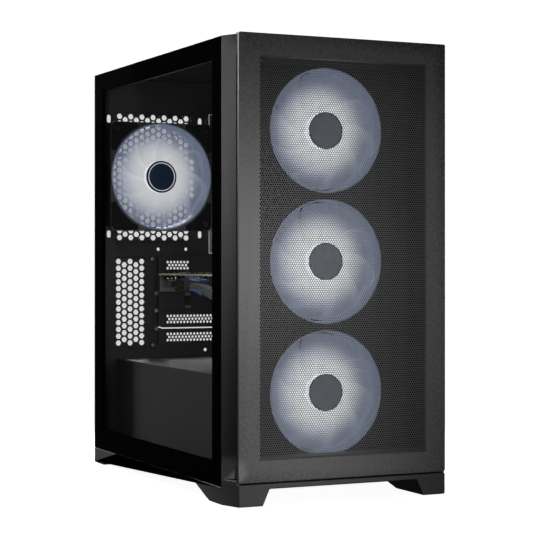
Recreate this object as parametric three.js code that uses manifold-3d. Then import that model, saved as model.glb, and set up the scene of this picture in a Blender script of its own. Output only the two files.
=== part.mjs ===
// Desktop computer tower: a steel chassis on a plastic base, with a perforated front plate over
// three lit fans, a glass side panel, a steel side panel, and the computer's parts inside.
// Millimetres. +Z is up, the front faces -Y, and the glass panel is on the -X side.
// The origin is the middle of the footprint, on the surface that the feet stand on.

import * as THREE from 'three';
import { mergeVertices } from 'three/addons/utils/BufferGeometryUtils.js';
import { ConvexGeometry } from 'three/addons/geometries/ConvexGeometry.js';
import Module from 'manifold-3d';

const wasm = await Module();
wasm.setup();

// ---------------------------------------------------------------- driving dimensions

const GAP = 0.3; // clearance between neighbouring pieces
const SHEET = 1; // steel sheet thickness

const HALF_WIDTH = 115.15; // centre plane to the outer face of a side panel
const FRONT_Y = -194; // face of the front plate
const BACK_Y = 186.2; // outer face of the rear panel
const REAR_LIMIT_Y = 194; // ends of the thumbscrew heads
const TOP_Z = 430.6; // top edge of the front plate and bezel

const SIDE_FRONT_Y = -170.5; // front edge of both side panels
const SIDE_BOTTOM_Z = 17.3;
const SIDE_TOP_Z = 429.4;
const GLASS_THICKNESS = 4;

const PLATE_HALF_WIDTH = 107.85;
const PLATE_THICKNESS = 3;
const PLATE_BOTTOM_Z = 22.6;
const MESH_HALF_WIDTH = 87.4; // perforated field of the front plate
const MESH_BOTTOM_Z = 42.2;
const MESH_TOP_Z = 410.3;
const MESH_SKIN = 1;

const FOOT_Z = 0.8; // underside of the plastic feet, on their rubber pads
const RAIL_BOTTOM_Z = 16;
const BASE_FRONT_Z = 21; // top of the base's front bar, below a shadow gap
const BASE_STEP_Z = 24.7; // top of the step behind the front plate, under the bezel
const FOOT_INNER_BOTTOM_X = 83.6;
const FOOT_INNER_TOP_X = 76.8;
const PAD_RADIUS = 9;

const CHASSIS_LEFT_X = -109.6; // edges of the sheet metal inside the side panels
const CHASSIS_RIGHT_X = 113.6;
const FLOOR_Z = 24; // underside of the chassis floor
const REAR_INNER_Y = BACK_Y - SHEET;
const TOP_PANEL_Z = SIDE_TOP_Z - SHEET;
const BULKHEAD_Y = -157; // front face of the sheet that carries the front fans
const TRAY_X = 75.1; // face of the motherboard tray that looks at the glass
const TRAY_FRONT_Y = -129;

const SHROUD_LEFT_X = -89.7;
const SHROUD_TOP_Z = 115;

const FAN_SIZE = 120;
const FAN_DEPTH = 25;
const FAN_BORE = 57.5;
const FAN_HUB = 17.8;
const FRONT_FAN_PITCH = 124.5;
const FRONT_FAN_MIDDLE_Z = 223;
const REAR_FAN_X = -45.15;
const REAR_FAN_Z = 317.4;

const SLOT_PITCH = 20.32;
const SLOT_TOP_Z = 219; // centre of the uppermost expansion slot
const SLOT_COVER_WIDTH = 18.4;
const SLOT_LEFT_X = -44;
const SLOT_RIGHT_X = 62;

const BOARD_X = 67; // component face of the motherboard
const BOARD_THICKNESS = 1.6;
const BOARD_FRONT_Y = -60;
const BOARD_BOTTOM_Z = 151;
const BOARD_SIZE = 244;

const PSU = { x0: -76, x1: 74, y0: 44.9, y1: 184.9, z0: 27, z1: 113 };
const CAGE = { x0: -80, x1: 74.8, y0: -101, y1: 13, z0: 25.3, z1: 92 };
const SLED_Z = 33;

const BUTTON = { x: -46, y: -140, radius: 7, top: 430.4 };
const RESET = { x: -26, y: -140, radius: 2.6, top: 430.1 };

// ---------------------------------------------------------------- materials

function finish(color, roughness, metalness) {
  return new THREE.MeshStandardMaterial({ color, roughness, metalness });
}

const darkPlastic = () => finish(0x1b1b1c, 0.75, 0);
const paintedSteel = () => finish(0x161617, 0.55, 0.3);
const plainSteel = () => finish(0xa8a9ab, 0.35, 1);
const rubber = () => finish(0x101010, 0.9, 0);
const frostedPlastic = () => finish(0xcfd6ee, 0.4, 0);
const boardLaminate = () => finish(0x14181a, 0.5, 0);
const aluminium = () => finish(0x9a9ca0, 0.4, 1);
const cableSleeve = () => finish(0x77777a, 0.85, 0);
const blackCable = () => finish(0x0e0e0f, 0.7, 0);
const driveMetal = () => finish(0x8f9194, 0.45, 1);
const darkFrame = () => finish(0x0c0d0f, 0.6, 0);

function tintedGlass() {
  const material = finish(0x1a1c1e, 0.05, 0);
  material.transparent = true;
  material.opacity = 0.35;
  return material;
}

// ---------------------------------------------------------------- geometry helpers

function box(x0, x1, y0, y1, z0, z1) {
  const geometry = new THREE.BoxGeometry(x1 - x0, y1 - y0, z1 - z0);
  return geometry.translate((x0 + x1) / 2, (y0 + y1) / 2, (z0 + z1) / 2);
}

function polygon(points) {
  return new THREE.Shape(points.map(([a, b]) => new THREE.Vector2(a, b)));
}

function rectangle(a0, a1, b0, b1) {
  return polygon([[a0, b0], [a1, b0], [a1, b1], [a0, b1]]);
}

function roundedRectangle(a0, a1, b0, b1, radius) {
  const shape = new THREE.Shape();
  shape.absarc(a0 + radius, b0 + radius, radius, Math.PI, Math.PI * 1.5);
  shape.absarc(a1 - radius, b0 + radius, radius, Math.PI * 1.5, Math.PI * 2);
  shape.absarc(a1 - radius, b1 - radius, radius, 0, Math.PI / 2);
  shape.absarc(a0 + radius, b1 - radius, radius, Math.PI / 2, Math.PI);
  return shape;
}

function circle(a, b, radius, sides) {
  const points = [];
  for (let i = 0; i < sides; i += 1) {
    const angle = (2 * Math.PI * i) / sides;
    points.push([a + radius * Math.cos(angle), b + radius * Math.sin(angle)]);
  }
  return polygon(points);
}

function withHoles(shape, holes) {
  shape.holes.push(...holes);
  return shape;
}

// Extrudes an outline drawn in X and Y along Z.
function extrudeZ(shape, z0, z1) {
  const options = { depth: z1 - z0, bevelEnabled: false, curveSegments: 4 };
  return new THREE.ExtrudeGeometry(shape, options).translate(0, 0, z0);
}

// Extrudes an outline drawn in X and Z along Y.
function extrudeY(shape, y0, y1) {
  return extrudeZ(shape, -y1, -y0).rotateX(Math.PI / 2);
}

// Extrudes an outline drawn in Y and Z along X.
function extrudeX(shape, x0, x1) {
  const turn = new THREE.Matrix4().set(0, 0, 1, 0, 1, 0, 0, 0, 0, 1, 0, 0, 0, 0, 0, 1);
  return extrudeZ(shape, x0, x1).applyMatrix4(turn);
}

function cylinderZ(x, y, radius, z0, z1, sides) {
  const geometry = new THREE.CylinderGeometry(radius, radius, z1 - z0, sides);
  return geometry.rotateX(Math.PI / 2).translate(x, y, (z0 + z1) / 2);
}

function cylinderY(x, z, radius, y0, y1, sides) {
  const geometry = new THREE.CylinderGeometry(radius, radius, y1 - y0, sides);
  return geometry.translate(x, (y0 + y1) / 2, z);
}

function cylinderX(y, z, radius, x0, x1, sides) {
  const geometry = new THREE.CylinderGeometry(radius, radius, x1 - x0, sides);
  return geometry.rotateZ(Math.PI / 2).translate((x0 + x1) / 2, y, z);
}

function toSolid(geometry) {
  const bare = geometry.clone();
  bare.deleteAttribute('normal');
  bare.deleteAttribute('uv');
  const merged = mergeVertices(bare, 1e-4);
  const vertProperties = new Float32Array(merged.attributes.position.array);
  const triVerts = new Uint32Array(merged.index.array);
  return new wasm.Manifold(new wasm.Mesh({ numProp: 3, vertProperties, triVerts }));
}

function fromSolid(solid) {
  const mesh = solid.getMesh();
  const geometry = new THREE.BufferGeometry();
  geometry.setAttribute('position', new THREE.BufferAttribute(mesh.vertProperties, 3));
  geometry.setIndex(new THREE.BufferAttribute(mesh.triVerts, 1));
  geometry.computeVertexNormals();
  return geometry;
}

function join(...geometries) {
  const [first, ...rest] = geometries.map(toSolid);
  return fromSolid(rest.reduce((whole, piece) => whole.add(piece), first));
}

function cut(geometry, ...tools) {
  return fromSolid(tools.map(toSolid).reduce((left, tool) => left.subtract(tool), toSolid(geometry)));
}

function common(...geometries) {
  const [first, ...rest] = geometries.map(toSolid);
  return fromSolid(rest.reduce((shared, piece) => shared.intersect(piece), first));
}

function tubeAlong(points, radius, sides, steps) {
  const path = new THREE.CatmullRomCurve3(points.map((p) => new THREE.Vector3(...p)));
  const section = circle(0, 0, radius, sides);
  return new THREE.ExtrudeGeometry(section, { steps, extrudePath: path, bevelEnabled: false });
}

function convexPiece(points) {
  return new ConvexGeometry(points.map((p) => new THREE.Vector3(...p)));
}

// ---------------------------------------------------------------- the scene graph

const tower = new THREE.Group();

function addPart(name, geometry, material, parent = tower) {
  const mesh = new THREE.Mesh(geometry, material);
  mesh.name = name;
  parent.add(mesh);
  return mesh;
}

// ---------------------------------------------------------------- base and feet

// The base's outline seen from above: a rectangle whose front corners are cut off.
const CORNER_Y = SIDE_FRONT_Y - GAP;

function cornerX(y) {
  const share = (CORNER_Y - y) / (CORNER_Y - FRONT_Y);
  return HALF_WIDTH - share * (HALF_WIDTH - PLATE_HALF_WIDTH);
}

function baseOutline() {
  return polygon([
    [-HALF_WIDTH, BACK_Y], [-HALF_WIDTH, CORNER_Y], [-PLATE_HALF_WIDTH, FRONT_Y],
    [PLATE_HALF_WIDTH, FRONT_Y], [HALF_WIDTH, CORNER_Y], [HALF_WIDTH, BACK_Y],
  ]);
}

// A foot is a block whose inner side and whose end towards the middle both slope.
function footBlock(side, yOuter, yBottom, yTop) {
  const lengthways = polygon([
    [yOuter, FOOT_Z], [yBottom, FOOT_Z], [yTop, RAIL_BOTTOM_Z], [yOuter, RAIL_BOTTOM_Z],
  ]);
  const across = polygon([
    [side * (HALF_WIDTH + 1), FOOT_Z], [side * FOOT_INNER_BOTTOM_X, FOOT_Z],
    [side * FOOT_INNER_TOP_X, RAIL_BOTTOM_Z], [side * (HALF_WIDTH + 1), RAIL_BOTTOM_Z],
  ]);
  return common(
    extrudeX(lengthways, -HALF_WIDTH - 2, HALF_WIDTH + 2),
    extrudeY(across, FRONT_Y - 2, BACK_Y + 2),
    extrudeZ(baseOutline(), 0, RAIL_BOTTOM_Z),
  );
}

function baseFrame() {
  const railInner = 99;
  const shelfOuter = 110.3;
  const shelfTop = FLOOR_Z - GAP;
  const behindPlate = FRONT_Y + PLATE_THICKNESS + GAP;
  const frontBar = polygon([
    [-HALF_WIDTH, CORNER_Y], [-PLATE_HALF_WIDTH, FRONT_Y],
    [PLATE_HALF_WIDTH, FRONT_Y], [HALF_WIDTH, CORNER_Y],
  ]);
  const stepBar = polygon([
    [-HALF_WIDTH, CORNER_Y], [-cornerX(behindPlate), behindPlate],
    [cornerX(behindPlate), behindPlate], [HALF_WIDTH, CORNER_Y],
  ]);
  const pieces = [
    extrudeZ(frontBar, RAIL_BOTTOM_Z, BASE_FRONT_Z),
    extrudeZ(stepBar, BASE_FRONT_Z, BASE_STEP_Z),
    box(-railInner, railInner, 172, BACK_Y, RAIL_BOTTOM_Z, 19.5),
  ];
  for (const side of [-1, 1]) {
    const outer = side * HALF_WIDTH;
    const inner = side * railInner;
    const shelf = side * shelfOuter;
    pieces.push(box(Math.min(outer, inner), Math.max(outer, inner),
      CORNER_Y, BACK_Y, RAIL_BOTTOM_Z, SIDE_BOTTOM_Z - GAP));
    pieces.push(box(Math.min(shelf, inner), Math.max(shelf, inner),
      CORNER_Y, BACK_Y - 2, SIDE_BOTTOM_Z - GAP, shelfTop));
    pieces.push(footBlock(side, FRONT_Y, -141.3, -100.5));
    pieces.push(footBlock(side, BACK_Y, 157, 116));
  }
  return join(...pieces);
}

function addBase() {
  addPart('base_frame', baseFrame(), darkPlastic());
  const places = [
    ['front_left', -98, -164], ['front_right', 98, -164],
    ['rear_left', -98, 172], ['rear_right', 98, 172],
  ];
  for (const [place, x, y] of places) {
    addPart(`foot_pad_${place}`, cylinderZ(x, y, PAD_RADIUS, 0, FOOT_Z, 20), rubber());
  }
}

// ---------------------------------------------------------------- chassis sheet metal

function chassisFloor() {
  const plate = rectangle(CHASSIS_LEFT_X, CHASSIS_RIGHT_X, CORNER_Y + 2, REAR_INNER_Y - GAP);
  const vent = roundedRectangle(-57, 55, 57, 171, 12);
  const pieces = [extrudeZ(withHoles(plate, [vent]), FLOOR_Z, FLOOR_Z + SHEET)];
  // Two rails under the floor guide the power supply's dust filter.
  for (const [wall0, wall1, lip0, lip1] of [[-65, -63, -63, -58], [61, 63, 56, 61]]) {
    pieces.push(box(wall0, wall1, 40, 170, 18.4, FLOOR_Z));
    pieces.push(box(lip0, lip1, 40, 170, 18.4, 19.6));
  }
  return join(...pieces);
}

function rearPanel() {
  const outline = rectangle(CHASSIS_LEFT_X, CHASSIS_RIGHT_X, FLOOR_Z, TOP_PANEL_Z - GAP);
  const holes = [
    rectangle(22, 66.5, 232.5, 391.3),
    roundedRectangle(PSU.x0 + 5, PSU.x1 - 5, PSU.z0 + 4, PSU.z1 - 4, 6),
  ];
  for (let slot = 0; slot < 5; slot += 1) {
    const z = SLOT_TOP_Z - slot * SLOT_PITCH;
    holes.push(rectangle(SLOT_LEFT_X + 7, SLOT_RIGHT_X - 3, z - 6.8, z + 6.8));
  }
  return extrudeY(withHoles(outline, holes), REAR_INNER_Y, BACK_Y);
}

function motherboardTray() {
  const outline = rectangle(TRAY_FRONT_Y, REAR_INNER_Y - GAP, FLOOR_Z + SHEET + GAP, TOP_PANEL_Z - GAP);
  const holes = [
    roundedRectangle(-98, -74, 175, 245, 6),
    roundedRectangle(-98, -74, 285, 355, 6),
    roundedRectangle(30, 130, 292, 382, 8),
    roundedRectangle(-60, -20, 94, 112, 5),
    rectangle(CAGE.y0, CAGE.y1, 30, 91),
  ];
  const pieces = [extrudeX(withHoles(outline, holes), TRAY_X, TRAY_X + SHEET)];
  const back = BOARD_X + BOARD_THICKNESS + GAP;
  for (const y of [-52, 14, 170]) {
    for (const z of [159, 260, 388]) {
      pieces.push(cylinderX(y, z, 3, back, TRAY_X, 8));
    }
  }
  return join(...pieces);
}

function topPanel() {
  const outline = rectangle(CHASSIS_LEFT_X - 1, CHASSIS_RIGHT_X, SIDE_FRONT_Y, BACK_Y);
  const opening = roundedRectangle(-80, 72, -112, 168, 10);
  const skin = extrudeZ(withHoles(outline, [opening]), TOP_PANEL_Z, SIDE_TOP_Z);
  const low = TOP_PANEL_Z - 1;
  const high = SIDE_TOP_Z + 1;
  const portHoles = [
    cylinderZ(BUTTON.x, BUTTON.y, BUTTON.radius + 0.4, low, high, 24),
    cylinderZ(RESET.x, RESET.y, RESET.radius + 0.4, low, high, 16),
    box(-12.4, 3.4, -143.6, -136.4, low, high),
    box(9.6, 25.4, -143.6, -136.4, low, high),
    box(32, 43, -142.2, -137.8, low, high),
    cylinderZ(54, -140, 3.4, low, high, 16),
  ];
  const flangeBottom = 411;
  const flange = box(CHASSIS_LEFT_X, CHASSIS_LEFT_X + SHEET, -155, REAR_INNER_Y - GAP,
    flangeBottom, TOP_PANEL_Z);
  const lip = box(CHASSIS_LEFT_X, CHASSIS_LEFT_X + 6, -155, 159, flangeBottom, flangeBottom + SHEET);
  return join(cut(skin, ...portHoles), flange, lip);
}

function frontBulkhead() {
  const top = 408;
  const left = -104;
  const holeRadius = FAN_BORE + 2.3; // leaves the fans' round lips showing
  const outline = rectangle(left, CHASSIS_RIGHT_X, FLOOR_Z + SHEET + GAP, top);
  const holes = [-1, 0, 1].map((row) => (
    circle(0, FRONT_FAN_MIDDLE_Z + row * FRONT_FAN_PITCH, holeRadius, 36)
  ));
  const sheet = extrudeY(withHoles(outline, holes), BULKHEAD_Y, BULKHEAD_Y + SHEET);
  const low = FLOOR_Z + SHEET + GAP;
  const leftFlange = box(left, left + SHEET, CORNER_Y + 2, BULKHEAD_Y, low, top);
  const rightFlange = box(CHASSIS_RIGHT_X - SHEET, CHASSIS_RIGHT_X, CORNER_Y + 2, BULKHEAD_Y, low, top);
  return join(sheet, leftFlange, rightFlange);
}

function psuShroud() {
  const low = FLOOR_Z + SHEET + GAP;
  const right = TRAY_X - GAP;
  const profile = polygon([
    [SHROUD_LEFT_X, low], [SHROUD_LEFT_X + SHEET, low], [SHROUD_LEFT_X + SHEET, SHROUD_TOP_Z - SHEET],
    [right, SHROUD_TOP_Z - SHEET], [right, SHROUD_TOP_Z], [SHROUD_LEFT_X, SHROUD_TOP_Z],
  ]);
  const bent = extrudeY(profile, TRAY_FRONT_Y + 1, REAR_INNER_Y - GAP);
  const cableOpening = box(-74, -48, -116, -86, SHROUD_TOP_Z - 5, SHROUD_TOP_Z + 5);
  return cut(bent, cableOpening);
}

function addChassis() {
  addPart('chassis_floor', chassisFloor(), paintedSteel());
  addPart('rear_panel', rearPanel(), paintedSteel());
  addPart('motherboard_tray', motherboardTray(), paintedSteel());
  addPart('top_panel', topPanel(), paintedSteel());
  addPart('front_bulkhead', frontBulkhead(), paintedSteel());
  addPart('psu_shroud', psuShroud(), paintedSteel());
}

// ---------------------------------------------------------------- front bezel and plate

// The bezel fills the gap between the side panels' front edges and the narrower front plate, so
// its sides are slanted strips. A three-cornered facet is cut into both ends of each strip.
const STRIP_FRONT_X = 107.55;
const STRIP_FRONT_Y = -188;
const BEZEL_BOTTOM_Z = BASE_STEP_Z + GAP;
const FACET_X = 105.03; // inner corner of a facet, behind the front plate's side edge
const FACET_Y = -182.56;
const FACET_RISE_BOTTOM = 17.4;
const FACET_RISE_TOP = 22;
const BEZEL_OPENING = { x: 98, z0: 44, z1: 412 }; // behind the perforated field

// The bezel's top slopes from the side panels' top edge up to the front plate's top edge.
function bezelTop(y) {
  const share = (CORNER_Y - y) / (CORNER_Y - STRIP_FRONT_Y);
  return SIDE_TOP_Z + share * (TOP_Z - SIDE_TOP_Z);
}

function facetCut(side, heightAt, rise) {
  const edgeZ = heightAt(STRIP_FRONT_Y);
  return convexPiece([
    [side * HALF_WIDTH, CORNER_Y, heightAt(CORNER_Y)],
    [side * FACET_X, FACET_Y, heightAt(FACET_Y)],
    [side * STRIP_FRONT_X, STRIP_FRONT_Y, edgeZ],
    [side * STRIP_FRONT_X, STRIP_FRONT_Y, edgeZ + rise],
  ]);
}

function aboveBezel() {
  const profile = polygon([
    [CORNER_Y, SIDE_TOP_Z], [CORNER_Y, TOP_Z + 1],
    [STRIP_FRONT_Y, TOP_Z + 1], [STRIP_FRONT_Y, TOP_Z],
  ]);
  return extrudeX(profile, -HALF_WIDTH - 1, HALF_WIDTH + 1);
}

function frontBezel() {
  const outline = polygon([
    [-HALF_WIDTH, CORNER_Y], [-STRIP_FRONT_X, STRIP_FRONT_Y],
    [STRIP_FRONT_X, STRIP_FRONT_Y], [HALF_WIDTH, CORNER_Y],
  ]);
  const opening = box(-BEZEL_OPENING.x, BEZEL_OPENING.x, STRIP_FRONT_Y - 5, CORNER_Y + 5,
    BEZEL_OPENING.z0, BEZEL_OPENING.z1);
  const facets = [-1, 1].flatMap((side) => [
    facetCut(side, () => BEZEL_BOTTOM_Z, FACET_RISE_BOTTOM),
    facetCut(side, bezelTop, -FACET_RISE_TOP),
  ]);
  return cut(extrudeZ(outline, BEZEL_BOTTOM_Z, TOP_Z), opening, aboveBezel(), ...facets);
}

function frontPlate() {
  const outline = roundedRectangle(-PLATE_HALF_WIDTH, PLATE_HALF_WIDTH, PLATE_BOTTOM_Z, TOP_Z, 1.2);
  const field = rectangle(-MESH_HALF_WIDTH, MESH_HALF_WIDTH, MESH_BOTTOM_Z, MESH_TOP_Z);
  const border = extrudeY(withHoles(outline, [field]), FRONT_Y, FRONT_Y + PLATE_THICKNESS);
  const skin = box(-MESH_HALF_WIDTH - 2, MESH_HALF_WIDTH + 2, FRONT_Y, FRONT_Y + MESH_SKIN,
    MESH_BOTTOM_Z - 2, MESH_TOP_Z + 2);
  return join(border, skin);
}

function addFront() {
  addPart('front_bezel', frontBezel(), darkPlastic());
  addPart('front_plate', frontPlate(), paintedSteel());
}

// ---------------------------------------------------------------- side panels

const THUMBSCREW_HEIGHTS = [['upper', 395], ['lower', 60]];
const FLANGE_Y = BACK_Y + GAP;
const FLANGE_INNER_X = 97;
const FLANGE_HEIGHTS = [30, 420]; // bottom and top of the rear flanges
const GLASS_BOND_Y = 169; // front edge of the steel strip bonded to the glass
const SCREW_X = 104;

function thumbscrew() {
  const head = cylinderY(0, 0, 6, FLANGE_Y + SHEET, REAR_LIMIT_Y, 16);
  const shank = cylinderY(0, 0, 1.8, FLANGE_Y + 0.1, FLANGE_Y + SHEET + 1, 12);
  return join(head, shank);
}

function flangeHoles(side) {
  return THUMBSCREW_HEIGHTS.map(([, z]) => (
    cylinderY(side * SCREW_X, z, 2.2, FLANGE_Y - 1, FLANGE_Y + SHEET + 1, 12)
  ));
}

function glassRearFlange() {
  const glassInner = -HALF_WIDTH + GLASS_THICKNESS;
  const bonded = box(glassInner, glassInner + SHEET, GLASS_BOND_Y, FLANGE_Y + SHEET, ...FLANGE_HEIGHTS);
  const folded = box(glassInner, -FLANGE_INNER_X, FLANGE_Y, FLANGE_Y + SHEET, ...FLANGE_HEIGHTS);
  return cut(join(bonded, folded), ...flangeHoles(-1));
}

function rightSidePanel() {
  const skin = box(HALF_WIDTH - SHEET, HALF_WIDTH, SIDE_FRONT_Y, FLANGE_Y + SHEET,
    SIDE_BOTTOM_Z, SIDE_TOP_Z);
  const folded = box(FLANGE_INNER_X, HALF_WIDTH, FLANGE_Y, FLANGE_Y + SHEET, ...FLANGE_HEIGHTS);
  return cut(join(skin, folded), ...flangeHoles(1));
}

function addSidePanels() {
  const glassInner = -HALF_WIDTH + GLASS_THICKNESS;
  const glass = box(-HALF_WIDTH, glassInner, SIDE_FRONT_Y, BACK_Y, SIDE_BOTTOM_Z, SIDE_TOP_Z);
  addPart('glass_panel', glass, tintedGlass());
  addPart('glass_rear_flange', glassRearFlange(), paintedSteel());
  addPart('right_side_panel', rightSidePanel(), paintedSteel());
  for (const [place, z] of THUMBSCREW_HEIGHTS) {
    addPart(`glass_thumbscrew_${place}`, thumbscrew(), darkPlastic()).position.set(-SCREW_X, 0, z);
    addPart(`side_thumbscrew_${place}`, thumbscrew(), darkPlastic()).position.set(SCREW_X, 0, z);
  }
}

// ---------------------------------------------------------------- fans

// A fan is drawn about its own axis, with its intake face at z = 0 and its struts at the far end.
function fanFrame({ size, bore, depth, screwSpacing, hub }) {
  const half = size / 2;
  const holes = [circle(0, 0, bore, 36)];
  for (const sx of [-1, 1]) {
    for (const sy of [-1, 1]) {
      holes.push(circle((sx * screwSpacing) / 2, (sy * screwSpacing) / 2, 2.2, 6));
    }
  }
  const pieces = [extrudeZ(withHoles(roundedRectangle(-half, half, -half, half, 5), holes), 0, depth)];
  pieces.push(cylinderZ(0, 0, hub, depth - 3, depth, 20));
  for (let i = 0; i < 4; i += 1) {
    pieces.push(box(hub - 2, bore + 1, -2.5, 2.5, depth - 3, depth).rotateZ((i * Math.PI) / 2 + 0.3));
  }
  return join(...pieces);
}

function fanRotor({ tip, depth, hub, blades, pitch }) {
  const blade = polygon([
    [hub - 2, -hub * 0.42], [tip * 0.6, -tip * 0.27], [tip + 3, -tip * 0.3],
    [tip + 3, tip * 0.3], [tip * 0.6, tip * 0.24], [hub - 2, hub * 0.42],
  ]);
  const sweep = cylinderZ(0, 0, tip, 1.2, depth, 36);
  const blank = extrudeZ(blade, -0.8, 0.8).rotateX(pitch).translate(0, 0, (depth + 1) / 2);
  let wheel = toSolid(blank.clone());
  for (let i = 1; i < blades; i += 1) {
    wheel = wheel.add(toSolid(blank.clone().rotateZ((2 * Math.PI * i) / blades)));
  }
  const cap = toSolid(cylinderZ(0, 0, hub, 0.6, depth, 20));
  return fromSolid(wheel.intersect(toSolid(sweep)).add(cap));
}

const CASE_FAN = { size: FAN_SIZE, bore: FAN_BORE, depth: FAN_DEPTH, screwSpacing: 105, hub: FAN_HUB };
const CASE_ROTOR = { tip: 56, depth: 21.5, hub: FAN_HUB, blades: 7, pitch: 0.52 };

function addCaseFan(frameName, rotorName, x, intakeY, z) {
  const fan = new THREE.Group();
  fan.position.set(x, intakeY, z);
  fan.rotation.x = -Math.PI / 2;
  addPart(frameName, fanFrame(CASE_FAN), darkFrame(), fan);
  addPart(rotorName, fanRotor(CASE_ROTOR), frostedPlastic(), fan);
  tower.add(fan);
}

function addCaseFans() {
  for (const [place, row] of [['upper', 1], ['middle', 0], ['lower', -1]]) {
    const z = FRONT_FAN_MIDDLE_Z + row * FRONT_FAN_PITCH;
    const intakeY = BULKHEAD_Y + SHEET + GAP;
    addCaseFan(`front_fan_frame_${place}`, `front_fan_rotor_${place}`, 0, intakeY, z);
  }
  addCaseFan('rear_fan_frame', 'rear_fan_rotor', REAR_FAN_X, REAR_INNER_Y - GAP - FAN_DEPTH, REAR_FAN_Z);
}

// ---------------------------------------------------------------- motherboard and what is on it

const CPU = { y: 80, z: 337 };
const COOLER_FAN = { size: 92, bore: 43.5, depth: 25, screwSpacing: 82.5, hub: 15 };
const COOLER_ROTOR = { tip: 42, depth: 21, hub: 15, blades: 7, pitch: 0.5 };
const COOLER_FAN_X = 7; // intake face of the processor cooler's fan

function motherboard() {
  const pieces = [
    box(BOARD_X, BOARD_X + BOARD_THICKNESS, BOARD_FRONT_Y, BOARD_FRONT_Y + BOARD_SIZE,
      BOARD_BOTTOM_Z, BOARD_BOTTOM_Z + BOARD_SIZE),
    box(BOARD_X - 3.7, BOARD_X, CPU.y - 24, CPU.y + 24, CPU.z - 24, CPU.z + 24),
    box(BOARD_X - 13, BOARD_X, -58, -50, 296, 348),
  ];
  for (const slot of [1, 3]) {
    const z = SLOT_TOP_Z - slot * SLOT_PITCH + 10;
    pieces.push(box(BOARD_X - 11, BOARD_X, 40, 129, z - 3.5, z + 3.5));
  }
  for (const y of [4, 14, 24]) {
    pieces.push(box(BOARD_X - 6, BOARD_X, y - 3, y + 3, 262, 394));
  }
  return join(...pieces);
}

function memoryModule(y) {
  const x0 = BOARD_X - 6 - GAP;
  return box(x0 - 34, x0, y - 3.4, y + 3.4, 264, 392);
}

function rearIoBlock() {
  const edge = BOARD_X - GAP;
  const blocks = [[238, 262, 28], [263, 300, 31], [301, 338, 27], [339, 388, 30]];
  const pieces = blocks.map(([z0, z1, x0]) => box(x0, edge, 154, 184.6, z0, z1));
  pieces.push(box(56, edge, 150, 184, 238, 388));
  return join(...pieces);
}

// Processor heatsink: a base plate with upright fins between the processor and the fan.
function cpuHeatsink() {
  const baseX = BOARD_X - 3.7 - GAP;
  const finTip = COOLER_FAN_X + COOLER_FAN.depth + GAP;
  const half = 44;
  const pieces = [box(baseX - 6, baseX, CPU.y - half, CPU.y + half, CPU.z - half, CPU.z + half)];
  for (let i = 0; i < 15; i += 1) {
    const y = CPU.y - half + 0.9 + i * 6.15;
    pieces.push(box(finTip, baseX - 5, y - 0.9, y + 0.9, CPU.z - half, CPU.z + half));
  }
  return join(...pieces);
}

function chipsetHeatsink() {
  const x = BOARD_X - GAP;
  const pieces = [box(x - 3, x, -40, 0, 160, 196)];
  for (let i = 0; i < 6; i += 1) {
    const y = -38.5 + i * 7.4;
    pieces.push(box(x - 9, x - 2, y - 1.5, y + 1.5, 160, 196));
  }
  return join(...pieces);
}

function addMotherboard() {
  addPart('motherboard', motherboard(), boardLaminate());
  addPart('rear_io_block', rearIoBlock(), plainSteel());
  addPart('memory_module_inner', memoryModule(24), darkPlastic());
  addPart('memory_module_outer', memoryModule(4), darkPlastic());
  addPart('chipset_heatsink', chipsetHeatsink(), aluminium());
  addPart('cpu_heatsink', cpuHeatsink(), aluminium());
  const fan = new THREE.Group();
  fan.position.set(COOLER_FAN_X, CPU.y, CPU.z);
  fan.rotation.y = Math.PI / 2;
  addPart('cpu_fan_frame', fanFrame(COOLER_FAN), darkFrame(), fan);
  addPart('cpu_fan_rotor', fanRotor(COOLER_ROTOR), darkFrame(), fan);
  tower.add(fan);
}

// ---------------------------------------------------------------- graphics card

const CARD_Z = 208; // underside of the card's circuit board
const CARD_FRONT_Y = -16;
const CARD_FAN = { x: 8, y: 70, radius: 36 };

function gpuBoard() {
  return box(-40, BOARD_X - 11 - GAP, CARD_FRONT_Y, 183.2, CARD_Z, CARD_Z + BOARD_THICKNESS);
}

function gpuCooler() {
  const body = box(-35, 52, CARD_FRONT_Y + 4, 152, 190.5, CARD_Z - GAP);
  const well = cylinderZ(CARD_FAN.x, CARD_FAN.y, CARD_FAN.radius, 189, 203, 32);
  return cut(body, well);
}

function gpuFanRotor() {
  return fanRotor({ tip: CARD_FAN.radius - 1.2, depth: 10, hub: 13, blades: 7, pitch: 0.35 });
}

// A plate that closes an expansion slot from inside, between two heights.
function slotPlate(z0, z1) {
  const back = REAR_INNER_Y - GAP;
  return box(SLOT_LEFT_X, SLOT_RIGHT_X, back - 1.3, back, z0, z1);
}

function gpuBracket() {
  const z = SLOT_TOP_Z - SLOT_PITCH;
  const plate = slotPlate(z - SLOT_COVER_WIDTH / 2, CARD_Z - GAP);
  const sockets = [-22, 6, 34].map((x) => box(x - 8, x + 8, 180, 190, z - 3.2, z + 3.2));
  return cut(plate, ...sockets);
}

const GPU_CABLE_ROUTE = [
  [-44, 75.6, 197.5], [-45, 58, 196.5], [-46.5, 34, 194], [-48, 8, 190], [-51, -22, 184],
  [-55.5, -52, 172], [-59.5, -78, 152], [-61, -94, 130], [-61, -99, 112], [-58, -88, 103],
  [-52, -60, 102], [-46, -20, 102], [-42, 12, 102], [-42, 33, 102], [-42, 44, 102],
];

function addGraphicsCard() {
  addPart('gpu_board', gpuBoard(), boardLaminate());
  addPart('gpu_cooler', gpuCooler(), darkPlastic());
  addPart('gpu_bracket', gpuBracket(), plainSteel());
  addPart('gpu_fan_rotor', gpuFanRotor(), darkFrame()).position.set(CARD_FAN.x, CARD_FAN.y, 191);
  addPart('gpu_power_plug', box(-52, -35.3, 76, 97, 191.5, 204.5), blackCable());
  addPart('gpu_power_cable', tubeAlong(GPU_CABLE_ROUTE, 5.2, 8, 34), cableSleeve());
}

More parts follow.
